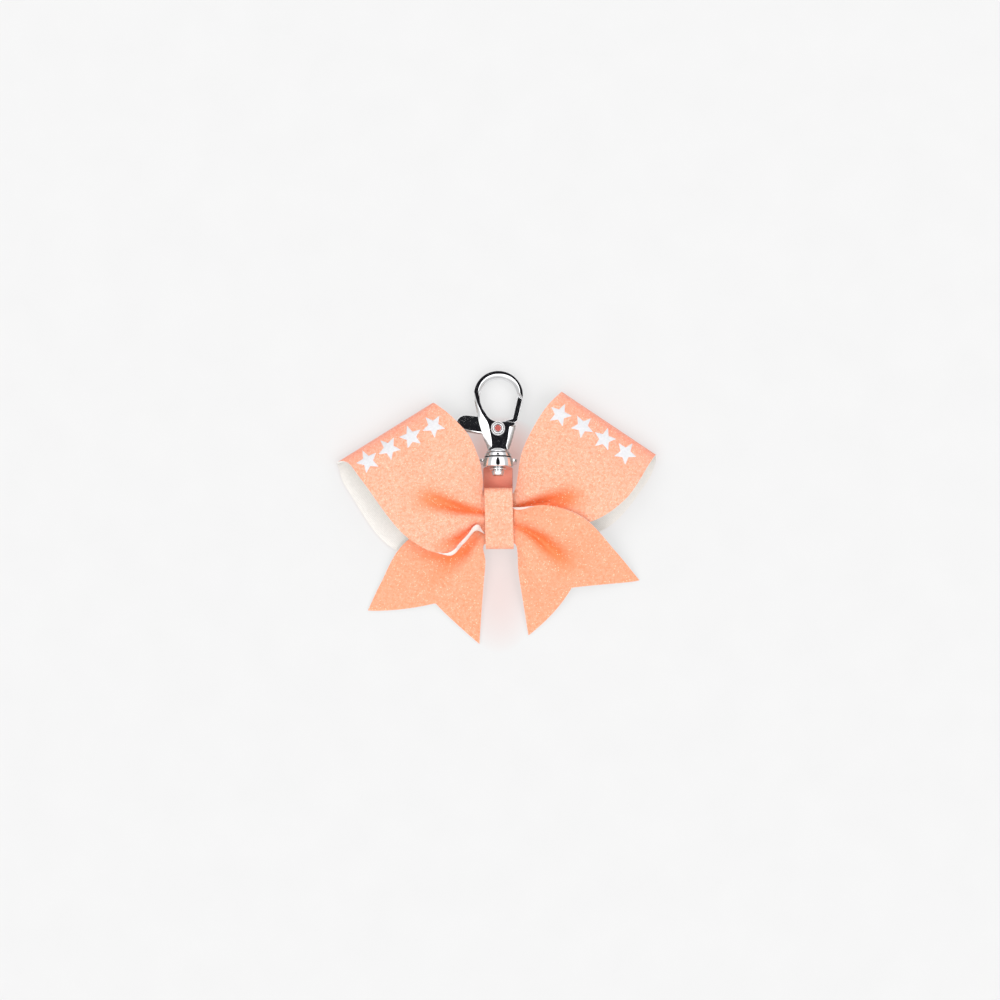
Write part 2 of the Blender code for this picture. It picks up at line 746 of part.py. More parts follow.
def make_spring():
    """Two turns of wire round the pin, in the lever's recess."""
    wire, coil, pitch, turns = 0.16, 1.5, 0.42, 1.7
    steps, sides = 34, 6
    bm = bmesh.new()
    rings = []
    for i in range(steps + 1):
        angle = math.tau * turns * i / steps
        z = -LEVER_HALF + 0.25 + pitch * turns * i / steps
        out = Vector((math.cos(angle), math.sin(angle), 0))
        ring = []
        for k in range(sides):
            turn = math.tau * k / sides
            offset = out * math.cos(turn) + Vector((0, 0, 1)) * math.sin(turn)
            ring.append(bm.verts.new((out * coil + Vector((0, 0, z)) + offset * wire) * MM))
        rings.append(ring)
    for first, second in zip(rings, rings[1:]):
        for k in range(sides):
            n = (k + 1) % sides
            bm.faces.new((first[k], first[n], second[n], second[k]))
    bm.faces.new(rings[0])
    bm.faces.new(rings[-1])
    spring = mesh_object("lever_spring", bm, 60)
    spring.location = mm(0, PIN_Y, 0)
    return finish_material(spring, (0.55, 0.55, 0.55), 0.3, 1.0)


def make_axis(name, place, slope_deg=0.0):
    """An empty on a joint's axis."""
    axis = bpy.data.objects.new(name, None)
    bpy.context.collection.objects.link(axis)
    axis.location = mm(*place)
    axis.rotation_euler = (math.radians(-slope_deg), 0, 0)
    return axis


def make_clasp():
    """The eye stands on its bar in the strap; the hook slopes down from the barrel to the table."""
    bar_axis = make_axis("bar_axis", (CLASP_X, EYE_BAR_Y, EYE_BAR_Z), CLASP_DROP_DEG)
    hook_axis = make_axis("hook_axis", (0, 0, AXIS_HEIGHT))
    hook_axis.parent = bar_axis
    parent_to(hook_axis, make_eye(), make_rivet(), make_washer())
    parent_to(hook_axis, make_hook_body(), make_pin(), make_spring(), make_lever())


def main():
    clear_scene()
    make_ribbon()
    make_band()
    make_thread()
    make_glue_pad()
    make_strap()
    make_stars()
    make_clasp()


main()
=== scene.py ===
"""The looks of the mini cheer bow: glitter ribbon, vinyl stars, plain tab and chrome swivel clasp."""

import json
import math

import bmesh
import bpy
import numpy as np
from mathutils import Matrix, Vector


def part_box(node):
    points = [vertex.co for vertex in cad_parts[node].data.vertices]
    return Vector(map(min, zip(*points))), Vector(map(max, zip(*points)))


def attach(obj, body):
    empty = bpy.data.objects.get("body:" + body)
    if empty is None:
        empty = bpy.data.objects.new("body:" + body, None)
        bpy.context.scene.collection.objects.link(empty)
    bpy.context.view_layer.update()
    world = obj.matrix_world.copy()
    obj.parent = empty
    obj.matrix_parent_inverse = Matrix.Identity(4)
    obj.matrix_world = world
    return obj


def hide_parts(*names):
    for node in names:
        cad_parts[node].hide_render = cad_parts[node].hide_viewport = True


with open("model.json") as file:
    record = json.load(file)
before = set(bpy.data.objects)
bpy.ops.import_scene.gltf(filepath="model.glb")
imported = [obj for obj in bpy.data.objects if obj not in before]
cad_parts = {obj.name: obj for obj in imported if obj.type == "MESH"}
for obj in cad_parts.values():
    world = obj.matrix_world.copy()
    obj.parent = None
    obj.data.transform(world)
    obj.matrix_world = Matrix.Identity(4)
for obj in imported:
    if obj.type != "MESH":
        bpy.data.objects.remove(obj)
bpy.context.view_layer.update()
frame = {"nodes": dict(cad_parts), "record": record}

MM = 0.001
CLOTH_SMOOTH = 50
JOINTS = {joint["name"]: joint for joint in frame["record"]["behaviour"]["joints"]}

# ---------------------------------------------------------------- helpers


def link(name, data):
    """An object in the scene, from a mesh or a camera."""
    obj = bpy.data.objects.new(name, data)
    bpy.context.collection.objects.link(obj)
    return obj


def mesh_object(name, bm, smooth_deg=35):
    """An object from a mesh in millimetres, with its faces turned outwards."""
    bmesh.ops.recalc_face_normals(bm, faces=bm.faces)
    if bm.calc_volume(signed=True) < 0:
        bmesh.ops.reverse_faces(bm, faces=bm.faces)
    bmesh.ops.scale(bm, vec=(MM, MM, MM), verts=bm.verts)
    mesh = bpy.data.meshes.new(name)
    bm.to_mesh(mesh)
    bm.free()
    mesh.shade_smooth()
    mesh.set_sharp_from_angle(angle=math.radians(smooth_deg))
    return link(name, mesh)


def finish_piece(obj, body, node, slot, *materials):
    """Gives a piece its materials and its body, and hides the CAD node that it stands for. The slot is not
    used.
    """
    for material in materials:
        obj.data.materials.append(material)
    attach(obj, body)
    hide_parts(node)


def smoothstep(x):
    """0 below 0, 1 above 1, and smooth between them."""
    x = np.clip(x, 0.0, 1.0)
    return x * x * (3 - 2 * x)


# ---------------------------------------------------------------- materials


class Nodes:
    """A small wrapper that adds and links a material's nodes."""

    def __init__(self, name):
        self.material = bpy.data.materials.new(name)
        self.material.use_nodes = True
        self.tree = self.material.node_tree
        self.shader = self.tree.nodes["Principled BSDF"]

    @classmethod
    def over(cls, tree):
        """The same helper for a node tree that is already there."""
        made = cls.__new__(cls)
        made.tree = tree
        return made

    def feed(self, socket, value):
        """Links another node's output to a socket, or sets a plain value on it."""
        if isinstance(value, bpy.types.NodeSocket):
            self.tree.links.new(value, socket)
        else:
            socket.default_value = value

    def add(self, kind, inputs=None, **values):
        node = self.tree.nodes.new(kind)
        for key, value in values.items():
            setattr(node, key, value)
        for key, value in (inputs or {}).items():
            self.feed(node.inputs[key], value)
        return node

    def ramp(self, factor, stops):
        """A colour ramp. A stop is a place with a colour, or with one number for a grey."""
        node = self.add("ShaderNodeValToRGB", {"Fac": factor})
        elements = node.color_ramp.elements
        while len(elements) < len(stops):
            elements.new(0.5)
        for element, (place, colour) in zip(elements, stops):
            element.position = place
            element.color = (*(colour if isinstance(colour, tuple) else (colour,) * 3), 1.0)
        return node.outputs["Color"]

    def math(self, operation, a, b):
        return self.add("ShaderNodeMath", {0: a, 1: b}, operation=operation).outputs[0]

    def mix(self, factor, a, b, blend="MIX"):
        """Mixes two colours. Inputs 6 and 7 and output 2 are the node's colour sockets."""
        node = self.add("ShaderNodeMix", data_type="RGBA", blend_type=blend)
        for index, value in ((0, factor), (6, a), (7, b)):
            self.feed(node.inputs[index], value)
        return node.outputs[2]

    def set(self, **values):
        """Sets the shader's own sockets, with _ for each space in their names."""
        for key, value in values.items():
            self.feed(self.shader.inputs[key.replace("_", " ")], value)

    def place(self, source="Object"):
        return self.add("ShaderNodeTexCoord").outputs[source]

    def noise(self, scale, detail=2.0, **inputs):
        found = {"Vector": self.place(), "Scale": scale, "Detail": detail, **inputs}
        return self.add("ShaderNodeTexNoise", found).outputs["Fac"]

    def bump(self, height, strength, distance):
        values = {"Height": height, "Strength": strength, "Distance": distance}
        return self.add("ShaderNodeBump", values).outputs["Normal"]

    def vector_math(self, operation, **inputs):
        """Vector maths, where a and b are the two vectors."""
        sockets = {{"a": 0, "b": 1}.get(key, key): value for key, value in inputs.items()}
        return self.add("ShaderNodeVectorMath", sockets, operation=operation)


# Painted shade: the deeper colour that the ribbon's point attributes bring in, and how much of it at most.
GLITTER_PAINTED_SHADES = (
    ("fold", 0.55, (0.93, 0.30, 0.22, 1.0)),
    ("tail", 0.34, (0.95, 0.25, 0.08, 1.0)),
    ("pleat_shade", 0.85, (0.97, 0.20, 0.05, 1.0)),
)
FLAKE_SCALE, CLUMP_SCALE, DRIFT_SCALE = 3600.0, 1100.0, 70.0
GROUND_SHARE = 0.6
GLINT_FROM, GLINT_SHARE = 0.97, 0.65
FLAKE_TILT = 0.5


def glitter(name):
    """Coral glitter: flakes of 0.2 mm, each with its own colour and tilt, over a coral ground, with painted
    shade where the ribbon's attributes ask for it and a few painted glints.
    """
    n = Nodes(name)
    flakes = n.add("ShaderNodeTexVoronoi", {"Vector": n.place(), "Scale": FLAKE_SCALE, "Randomness": 1.0})
    lot = n.add("ShaderNodeSeparateColor", {"Color": flakes.outputs["Color"]})
    colour = n.ramp(
        lot.outputs["Red"],
        [
            (0.0, (0.93, 0.30, 0.17)),
            (0.35, (0.95, 0.37, 0.235)),
            (0.68, (0.96, 0.45, 0.31)),
            (0.9, (0.97, 0.54, 0.38)),
            (1.0, (0.97, 0.70, 0.52)),
        ],
    )
    clumps = n.noise(CLUMP_SCALE, 3.0, Roughness=0.7)
    ground = n.ramp(clumps, [(0.34, (0.93, 0.31, 0.17)), (0.66, (0.96, 0.57, 0.42))])
    colour = n.mix(GROUND_SHARE, colour, ground)
    warm = n.ramp(n.noise(DRIFT_SCALE), [(0.35, (1.0, 0.95, 0.93)), (0.65, 1.0)])
    colour = n.mix(1.0, colour, warm, "MULTIPLY")
    # Painted shade: deeper colour at the folds, on the tails and in the creases.
    for attribute, share, painted_shade_colour in GLITTER_PAINTED_SHADES:
        amount = n.add("ShaderNodeAttribute", attribute_name=attribute).outputs["Fac"]
        colour = n.mix(n.math("MULTIPLY", amount, share), colour, painted_shade_colour)
    # Painted glints: a few flakes get a pale gold base colour that stands in for sparkle.
    glint = n.math("GREATER_THAN", lot.outputs["Green"], GLINT_FROM)
    colour = n.mix(n.math("MULTIPLY", glint, GLINT_SHARE), colour, (0.97, 0.78, 0.55, 1.0))
    tilt = n.vector_math("SUBTRACT", a=flakes.outputs["Color"], b=(0.5, 0.5, 0.5))
    tilt = n.vector_math("SCALE", a=tilt.outputs[0], Scale=FLAKE_TILT)
    normal = n.add("ShaderNodeNewGeometry").outputs["Normal"]
    tilted = n.vector_math("ADD", a=normal, b=tilt.outputs[0])
    tilted = n.vector_math("NORMALIZE", a=tilted.outputs[0])
    rough = n.ramp(lot.outputs["Blue"], [(0.0, 0.35), (1.0, 0.65)])
    n.set(Base_Color=colour, Roughness=rough, Normal=tilted.outputs[0], Specular_IOR_Level=0.35)
    return n.material


def woven_back(name, colour, painted_shade_colour, thread, depth):
    """Plain ribbon with ribs across it and a crossing thread, with painted shade towards the object's
    middle.
    """
    n = Nodes(name)
    split = n.add("ShaderNodeSeparateXYZ", {"Vector": n.place("UV")})
    ribs = n.math("SINE", n.math("MULTIPLY", split.outputs["Y"], math.tau / thread), 0.0)
    warp = n.math("SINE", n.math("MULTIPLY", split.outputs["X"], math.tau / (0.6 * thread)), 0.0)
    crossing = n.math("MULTIPLY", n.math("MULTIPLY", ribs, warp), 0.3)
    weave = n.math("ADD", n.math("MULTIPLY", ribs, 0.7), crossing)
    height = n.math("ADD", n.math("MULTIPLY", weave, 0.5), n.noise(1500.0, 4.0))
    shade = n.ramp(height, [(0.1, tuple(c * 0.86 for c in colour)), (0.9, colour)])
    # Painted shade: near the bow's middle the colour goes to the given shade colour, for the bow's shadow
    # and its coral light.
    reach = n.vector_math("LENGTH", a=n.place()).outputs["Value"]
    painted_coral_shade = n.ramp(reach, [(0.008, 0.7), (0.03, 0.0)])
    shade = n.mix(painted_coral_shade, shade, (*painted_shade_colour, 1.0))
    n.set(Base_Color=shade, Roughness=0.8, Normal=n.bump(height, depth, 0.00006), Sheen_Weight=0.15)
    return n.material


def vinyl():
    """Heat-pressed white vinyl that takes a little of the glitter's grain."""
    n = Nodes("white_vinyl")
    grain = n.noise(1400.0)
    shade = n.ramp(grain, [(0.3, (0.68, 0.675, 0.70)), (0.7, (0.75, 0.745, 0.765))])
    n.set(Base_Color=shade, Roughness=0.42, Normal=n.bump(grain, 0.35, 0.00008))
    return n.material


def chrome():
    """Bright nickel plate over a casting: faint waviness, a few fine wipe marks."""
    n = Nodes("clasp_chrome")
    wave = n.noise(260.0)
    rough = n.ramp(n.noise(1700.0, 3.0, Distortion=1.5), [(0.45, 0.05), (0.8, 0.05 + 0.16)])
    tone = n.ramp(wave, [(0.3, (0.80, 0.80, 0.81)), (0.7, (0.90, 0.90, 0.91))])
    n.set(Base_Color=tone, Metallic=1.0, Roughness=rough, Normal=n.bump(wave, 0.12, 0.0002))
    return n.material


def cloudy(name, scale, low, high, roughness):
    """A matt finish that drifts between two colours."""
    n = Nodes(name)
    n.set(Base_Color=n.ramp(n.noise(scale), [(0.3, low), (0.7, high)]), Roughness=roughness)
    return n.material


def eyelet_core():
    """The eyelet's dished middle, coloured a cloudy dark red."""
    return cloudy("eyelet_core", 2500.0, (0.36, 0.06, 0.05), (0.52, 0.11, 0.09), 0.4)


def groove_painted_shade():
    """Painted shade: a near-black finish for the groove's shadow."""
    return cloudy("groove_painted_shade", 1500.0, (0.012, 0.012, 0.014), (0.04, 0.038, 0.04), 0.5)


def thread_material():
    """Two-ply thread."""
    n = Nodes("thread")
    place = n.add("ShaderNodeMapping", {"Vector": n.place(), "Rotation": (0.0, 0.6, 0.0)})
    twist = n.add("ShaderNodeTexWave", {"Vector": place.outputs[0], "Scale": 900.0, "Distortion": 1.0})
    twist = twist.outputs["Fac"]
    shade = n.ramp(twist, [(0.0, (0.66, 0.64, 0.60)), (1.0, (0.90, 0.88, 0.85))])
    n.set(Base_Color=shade, Roughness=0.75, Normal=n.bump(twist, 0.6, 0.0001))
    return n.material


def glue_material():
    """Cloudy hot-melt glue."""
    n = Nodes("hot_glue")
    cloud = n.noise(500.0, 3.0)
    shade = n.ramp(cloud, [(0.3, (0.84, 0.78, 0.62)), (0.7, (0.93, 0.90, 0.80))])
    n.set(Base_Color=shade, Roughness=0.22, Normal=n.bump(cloud, 0.4, 0.0002))
    n.set(Subsurface_Weight=0.2, Subsurface_Scale=0.001)
    return n.material


def steel_wire():
    """Drawn spring wire."""
    n = Nodes("spring_steel")
    drawn = n.noise(4000.0)
    tone = n.ramp(drawn, [(0.2, (0.48, 0.48, 0.49)), (0.8, 0.66)])
    n.set(Base_Color=tone, Metallic=1.0, Roughness=n.ramp(drawn, [(0.3, 0.22), (0.7, 0.4)]))
    return n.material


CORAL = glitter("glitter_ribbon")
CORAL_BAND = glitter("glitter_band")
# Both get painted shade near the bow's middle: pink on the white back, a deeper coral on the tab.
WHITE_BACK = woven_back("ribbon_back", (0.90, 0.87, 0.83), (0.88, 0.62, 0.55), 0.34, 0.35)
SALMON = woven_back("plain_ribbon", (0.97, 0.36, 0.265), (0.97, 0.34, 0.245), 0.42, 0.6)
CHROME = chrome()

# ---------------------------------------------------------------- the ribbon strip
# Stations along the strip, in mm: edge A (upper or outer), edge B (lower or inner), and how far
# the middle stands above the straight line between them. The strip runs from the left tail's end
# through the centre to the right loop, back behind the centre to the left loop, and over the
# centre to the right tail's end.
STATIONS = [
    # left tail, from its end to the band
    ((-44.1, -31.4, 0.7), (-6.6, -42.7, 0.7), 0.0),
    ((-39.6, -22.0, 1.6), (-6.0, -33.0, 1.3), 0.4),
    ((-32.4, -9.5, 3.6), (-5.2, -22.5, 2.9), 0.8),
    ((-18.0, 1.0, 4.9), (-4.6, -15.0, 4.1), 0.5),
    ((-5.2, 5.4, 5.7), (-5.0, -9.3, 5.3), 0.1),
    ((0.0, 7.6, 5.6), (0.1, -8.5, 5.6), 0.0),
    # right loop, front leaf
    ((5.2, 8.4, 5.9), (5.7, -6.6, 5.4), 0.3),
    ((7.6, 21.0, 9.0), (17.0, -3.6, 7.4), 1.6),
    ((11.6, 30.0, 11.2), (31.5, -1.1, 10.2), 2.0),
    ((15.9, 36.8, 10.8), (42.6, 6.6, 10.4), 1.2),
    ((19.8, 40.8, 7.8), (50.3, 18.0, 7.8), 0.5),
    ((20.9, 41.8, 4.4), (52.6, 20.6, 4.4), 0.0),
    ((20.0, 40.4, 1.2), (52.3, 17.4, 1.2), 0.0),
    # back leaf, from the right fold to the left fold
    ((16.5, 34.0, 0.8), (49.0, 10.6, 0.8), 0.0),
    ((11.0, 21.5, 0.9), (36.5, -3.5, 0.9), 0.0),
    ((7.6, 12.5, 2.6), (14.0, -11.5, 2.4), 0.1),
    ((5.2, 7.8, 4.0), (5.2, -8.6, 4.0), 0.0),
    ((-5.2, 7.8, 4.0), (-5.2, -8.6, 4.0), 0.0),
    ((-8.2, 12.5, 2.6), (-14.0, -12.0, 2.4), 0.1),
    ((-12.5, 21.5, 0.9), (-36.0, -10.4, 0.9), 0.0),
    ((-16.5, 31.5, 0.8), (-50.8, 9.0, 0.8), 0.0),
    # left loop, front leaf
    ((-21.3, 37.0, 1.2), (-53.7, 16.0, 1.2), 0.0),
    ((-22.2, 38.0, 4.4), (-54.0, 18.2, 4.4), 0.0),
    ((-20.7, 37.4, 7.9), (-50.2, 17.9, 8.0), 0.5),
    ((-15.8, 33.5, 10.9), (-45.4, 12.0, 10.6), 1.2),
    ((-10.2, 27.3, 11.6), (-31.8, -5.6, 10.6), 2.0),
    ((-6.9, 19.8, 10.3), (-18.0, -12.9, 8.8), 1.7),
    ((-6.0, 15.6, 9.4), (-12.2, -9.0, 8.8), 1.2),
    ((-5.5, 12.0, 8.5), (-8.0, -4.4, 8.2), 0.6),
    ((-5.3, 8.6, 7.5), (-5.1, -5.7, 7.1), 0.3),
    ((0.0, 7.0, 7.0), (0.0, -8.4, 7.0), 0.0),
    # right tail, from the band to its end
    ((5.2, 3.2, 7.6), (5.7, -9.3, 6.9), 0.2),
    ((16.5, 3.9, 11.6), (6.7, -19.0, 5.6), 0.9),
    ((28.4, -0.4, 12.6), (8.0, -27.5, 3.2), 0.8),
    ((38.8, -11.2, 6.6), (9.1, -34.6, 1.3), 0.4),
    ((47.2, -21.2, 0.7), (9.9, -39.8, 0.7), 0.0),
]
STATION_ROWS = np.array([[*a, *b, crown] for a, b, crown in STATIONS])
LAST = len(STATIONS) - 1
RIGHT_FOLD, LEFT_FOLD = 11, 22
RIBBON_WIDTH = 38.0
RIBBON_THICKNESS = 0.5
STAR_THICKNESS = 0.16
NOTCH_DEPTH = 11.0
STATION_LENGTH = 12.0
OUTER_ARM_BOW = 1.25
LEFT_APEX, RIGHT_APEX = 0.55, 0.5
TAIL_STATIONS = 2
STEPS_PER_STATION = 14
# Where the grid's lines lie across the strip, closer at its edges, and the line that gives its length.
ACROSS = ((0, 0.12, 9), (0.12, 0.84, 44), (0.84, 1, 19))
MIDDLE_LINE = 31
# Painted shade: the reach of the deeper colour at the folds, in stations, the crease that has all of it,
# in mm, and where the tails' deeper colour starts.
FOLD_SHADE_SPREAD, CREASE_FOR_FULL_SHADE = 1.2, 2.7
LEFT_TAIL_SHADE_START, RIGHT_TAIL_SHADE_START, TAIL_SHADE_FADE = 5.5, 29.5, 1.5

# The stretches of the strip, by their first and last stations.
LEFT_TAIL, RIGHT_LEAF, LEFT_LEAF, RIGHT_TAIL = (0, 5), (5, 10), (24, 30), (30, 35)

# Creases that run out from the band, each on one stretch. Their points are (x, y, half width,
# height) in mm.
CREASES = [
    (LEFT_LEAF, [(-4, 1.5, 0.9, -0.6), (-8.5, 2.1, 1.3, -2.2), (-14, 3.2, 1.8, -3.6),
                 (-21, 5.3, 2.8, -2.6), (-30, 8, 4.5, 0)]),
    (LEFT_LEAF, [(-4, -0.6, 0.9, 0.4), (-9, -0.9, 1.6, 0.9), (-16, -1.6, 2.4, 1), (-24, -1, 3.5, 0)]),
    (LEFT_LEAF, [(-4, -2.8, 0.9, -0.5), (-9.5, -4, 1.2, -1.6), (-13.5, -7.2, 1.7, -2.8),
                 (-17.5, -9.6, 2.2, -1.6), (-23, -10, 3, 0)]),
    (LEFT_LEAF, [(-4, 5, 1.2, 0.3), (-9, 8.5, 2.5, 0.7), (-17, 14, 4, 0)]),
    (RIGHT_LEAF, [(4, 2.3, 0.9, -0.5), (8.5, 3.7, 1.4, -2.1), (14, 4.7, 2.1, -3.3),
                  (21, 6, 3, -2.5), (30, 7.5, 4.5, 0)]),
    (RIGHT_LEAF, [(4, 6, 1.1, 0.3), (9, 9.5, 2.5, 0.8), (17, 15, 4, 0)]),
    (RIGHT_TAIL, [(4, -2.4, 0.9, -0.5), (9, -4.3, 1.4, -2.2), (13.6, -7, 2.1, -3.4),
                  (19, -12, 3, -2.6), (25.5, -20, 4, 0)]),
    (RIGHT_TAIL, [(4, 0.6, 1, 0.4), (10, -0.3, 2, 1), (18, -4, 3.4, 0.9), (28, -11, 4.5, 0)]),
    (RIGHT_TAIL, [(4, -6.4, 0.9, 0.3), (7.5, -11.5, 1.6, 0.8), (11, -19, 2.4, 0.5), (14, -26, 3.5, 0)]),
    (LEFT_TAIL, [(-5, -3, 1.2, -0.2), (-11, -11, 2, -1.3), (-18, -17.5, 3, -1.2), (-27, -25, 4.5, 0)]),
    (LEFT_TAIL, [(-5, -7, 1.2, 0.2), (-8, -14, 2, 0.8), (-12, -24, 3, 0)]),
]

# Painted shade: the glitter is deeper in colour along these lines, where one layer shades the next
# and, wide and faint, round the creases. Their points are (x, y, half width, share of the deep colour).
PAINTED_SHADE_LINES = [
    (LEFT_TAIL, [(-8, -7.5, 1.4, 0.4), (-12, -11.5, 1.9, 0.7), (-18, -13.8, 2.2, 0.8),
                 (-24, -12.5, 2.4, 0.7), (-31, -8, 2.5, 0)]),
    (RIGHT_LEAF, [(5, 3, 0.8, 0.6), (11, 3.9, 1, 0.7), (17, 4.2, 1.2, 0.5), (25, 2.5, 1.5, 0)]),
    (LEFT_LEAF, [(-4.8, 1.4, 0.7, 0.6), (-9, 1.9, 0.8, 0.5), (-13, 1.6, 1, 0)]),
    (LEFT_LEAF, [(-4, 1.2, 1.5, 0.25), (-12, 3, 3.5, 0.32), (-22, 6, 5, 0.28), (-34, 8, 6, 0)]),
    (RIGHT_LEAF, [(4, 3, 1.5, 0.25), (14, 5, 3.5, 0.32), (24, 6, 5, 0.3), (36, 6, 6.5, 0)]),
    (RIGHT_TAIL, [(4, -2, 1.5, 0.25), (14, -6, 4, 0.32), (24, -12, 5, 0.25), (32, -17, 6, 0)]),
]

# Two edges roll back over themselves beside the band and show their white backs: the left loop's
# lower lip and the right tail's upper edge. (t of the edge, start, full, ease, end, radius, rise)
ROLLS = [
    (1, 25.5, 26.5, 28.2, 29.4, 2.1, 1.1),
    (0, 30.75, 31.1, 31.25, 31.7, 0.75, 0.4),
]
ROLL_TURN = 3.0


def strip_rows(u):
    """The stations' rows at numbers u, on a smooth curve through them."""
    i = np.clip(u.astype(int), 0, LAST - 1)
    f = (u - i)[..., None]
    before, after = 2 * STATION_ROWS[0] - STATION_ROWS[1], 2 * STATION_ROWS[-1] - STATION_ROWS[-2]
    rows = np.vstack([before, STATION_ROWS, after])
    p0, p1, p2, p3 = (rows[i + k] for k in range(4))
    return 0.5 * (
        2 * p1
        + (p2 - p0) * f
        + (2 * p0 - 5 * p1 + 4 * p2 - p3) * f * f
        + (3 * p1 - p0 - 3 * p2 + p3) * f**3
    )


def along_lines(u, x, y, lines):
    """What CREASES or PAINTED_SHADE_LINES add up to at the strip's points: each fades to its sides and ends."""
    total = np.zeros_like(x)
    here = np.stack([x, y], -1)
    for (first, last), line in lines:
        near = (u > first) & (u < last)
        if not near.any():
            continue
        best = np.full(x.shape, 1e9)
        value = np.zeros_like(x)
        for start, end in zip(line, line[1:]):
            start, end = np.array(start, float), np.array(end, float)
            run = end[:2] - start[:2]
            share = np.clip(((here - start[:2]) @ run) / (run @ run), 0, 1)
            gap = here - start[:2] - share[..., None] * run
            width, peak = (start[k] + (end[k] - start[k]) * share for k in (2, 3))
            distance = np.linalg.norm(gap, axis=-1)
            closer = distance < best
            best = np.where(closer, distance, best)
            value = np.where(closer, peak * np.exp(-((distance / width) ** 2)), value)
        fade = smoothstep(u - first) * smoothstep(last - u)
        total += np.where(near, value * fade, 0)
    return total


def flat_points(u, t):
    """Points of the strip with its creases, before its edges roll."""
    rows = strip_rows(u)
    points = rows[..., :3] * (1 - t[..., None]) + rows[..., 3:6] * t[..., None]
    points[..., 2] += rows[..., 6] * 4 * t * (1 - t)
    points[..., 2] += along_lines(u, points[..., 0], points[..., 1], CREASES)
    return points


def strip_points(u, t):
    """Points in the middle of the strip's thickness, in mm."""
    u, t = np.broadcast_arrays(np.asarray(u, float), np.asarray(t, float))
    points = flat_points(u, t)
    rows = strip_rows(u)
    across = rows[..., 3:5] - rows[..., :2]
    width = np.linalg.norm(across, axis=-1)
    across = across / width[..., None]
    for edge, first, full, ease, last, radius, rise in ROLLS:
        roll = smoothstep((u - first) / (full - first)) * smoothstep((last - u) / (last - ease))
        depth = radius / width
        from_edge = 1 - t if edge else t
        share = np.clip((depth - from_edge) / depth, 0, 1)
        base = flat_points(u, np.minimum(t, 1 - depth) if edge else np.maximum(t, depth))
        angle = ROLL_TURN * share
        reach = radius * (np.sin(angle) * roll + share * (1 - roll)) * (1 if edge else -1)
        rolled = base.copy()
        rolled[..., :2] += across * reach[..., None]
        rolled[..., 2] = points[..., 2] * (1 - roll) + roll * (base[..., 2] + rise * (1 - np.cos(angle)))
        points = np.where(((share > 0) & (roll > 0))[..., None], rolled, points)
    return points


def strip_normals(u, t):
    """Unit normals on the glitter side."""
    h = 0.004
    u, t = np.broadcast_arrays(np.asarray(u, float), np.asarray(t, float))
    along = strip_points(np.minimum(u + h, LAST), t) - strip_points(np.maximum(u - h, 0), t)
    across = strip_points(u, np.minimum(t + h, 1)) - strip_points(u, np.maximum(t - h, 0))
    normals = np.cross(across, along)
    return normals / np.linalg.norm(normals, axis=-1, keepdims=True)


def notch_depth(t, apex):
    """The V notch's depth in stations, at t. The outer arm bows a little."""
    share = np.minimum(t / apex, (1 - t) / (1 - apex))
    return NOTCH_DEPTH / STATION_LENGTH * share ** np.where(t < apex, OUTER_ARM_BOW, 1.0)


def notched(u, t):
    """The same grid line once the tail's V notch has pushed it inwards."""
    left, right = notch_depth(t, LEFT_APEX), notch_depth(t, RIGHT_APEX)
    start = left + u * (TAIL_STATIONS - left) / TAIL_STATIONS
    end = LAST - right - (LAST - u) * (TAIL_STATIONS - right) / TAIL_STATIONS
    return np.where(u < TAIL_STATIONS, start, np.where(u > LAST - TAIL_STATIONS, end, u))


def ribbon_grid():
    """The strip's grid of stations and t, with t along one row."""
    parts = [np.linspace(*part) for part in ACROSS]
    t_line = np.concatenate([parts[0], *(part[1:] for part in parts[1:])])
    u_line = np.linspace(0, LAST, LAST * STEPS_PER_STATION + 1)
    u, t = np.meshgrid(u_line, t_line, indexing="ij")
    return notched(u, t), t, t_line


def ribbon_mesh(u, t, t_line, middle, length):
    """The strip's two sides, 0 glitter and 1 white, with edges between them."""
    normal = strip_normals(u, t)
    bm = bmesh.new()
    uv_layer = bm.loops.layers.uv.new("strip")
    layers = []
    for side in (0.5, -0.5):
        points = middle + normal * side * RIBBON_THICKNESS
        layers.append([[bm.verts.new(p) for p in row] for row in points])
    top, bottom = layers
    count, wide = u.shape

    def add(corners, material):
        face = bm.faces.new([layer[i][j] for layer, i, j in corners])
        face.material_index = material
        for loop, (_, i, j) in zip(face.loops, corners):
            loop[uv_layer].uv = (t_line[j] * RIBBON_WIDTH, length[i])

    for i in range(count - 1):
        for j in range(wide - 1):
            add([(top, i, j), (top, i + 1, j), (top, i + 1, j + 1), (top, i, j + 1)], 0)
            add([(bottom, i, j), (bottom, i, j + 1), (bottom, i + 1, j + 1), (bottom, i + 1, j)], 1)
        for j in (0, wide - 1):
            add([(top, i, j), (top, i + 1, j), (bottom, i + 1, j), (bottom, i, j)], 1)
    for i in (0, count - 1):
        for j in range(wide - 1):
            add([(top, i, j), (top, i, j + 1), (bottom, i, j + 1), (bottom, i, j)], 1)
    return bm


def paint_ribbon_shade(ribbon, u, x, y):
    """The point attributes that say where the glitter gets painted shade: at the folds, on the tails and in
    the creases.
    """
    fold = sum(np.exp(-(((u - station) / FOLD_SHADE_SPREAD) ** 2)) for station in (RIGHT_FOLD, LEFT_FOLD))
    pleat_shade = np.clip(along_lines(u, x, y, PAINTED_SHADE_LINES) - along_lines(u, x, y, CREASES) / CREASE_FOR_FULL_SHADE, 0, 1)
    tail = smoothstep((LEFT_TAIL_SHADE_START - u) / TAIL_SHADE_FADE)
    tail = tail + smoothstep((u - RIGHT_TAIL_SHADE_START) / TAIL_SHADE_FADE)
    for name, values in (("fold", fold), ("pleat_shade", pleat_shade), ("tail", tail)):
        attribute = ribbon.data.attributes.new(name, "FLOAT", "POINT")
        attribute.data.foreach_set("value", np.concatenate([values.ravel()] * 2).astype(np.float32))


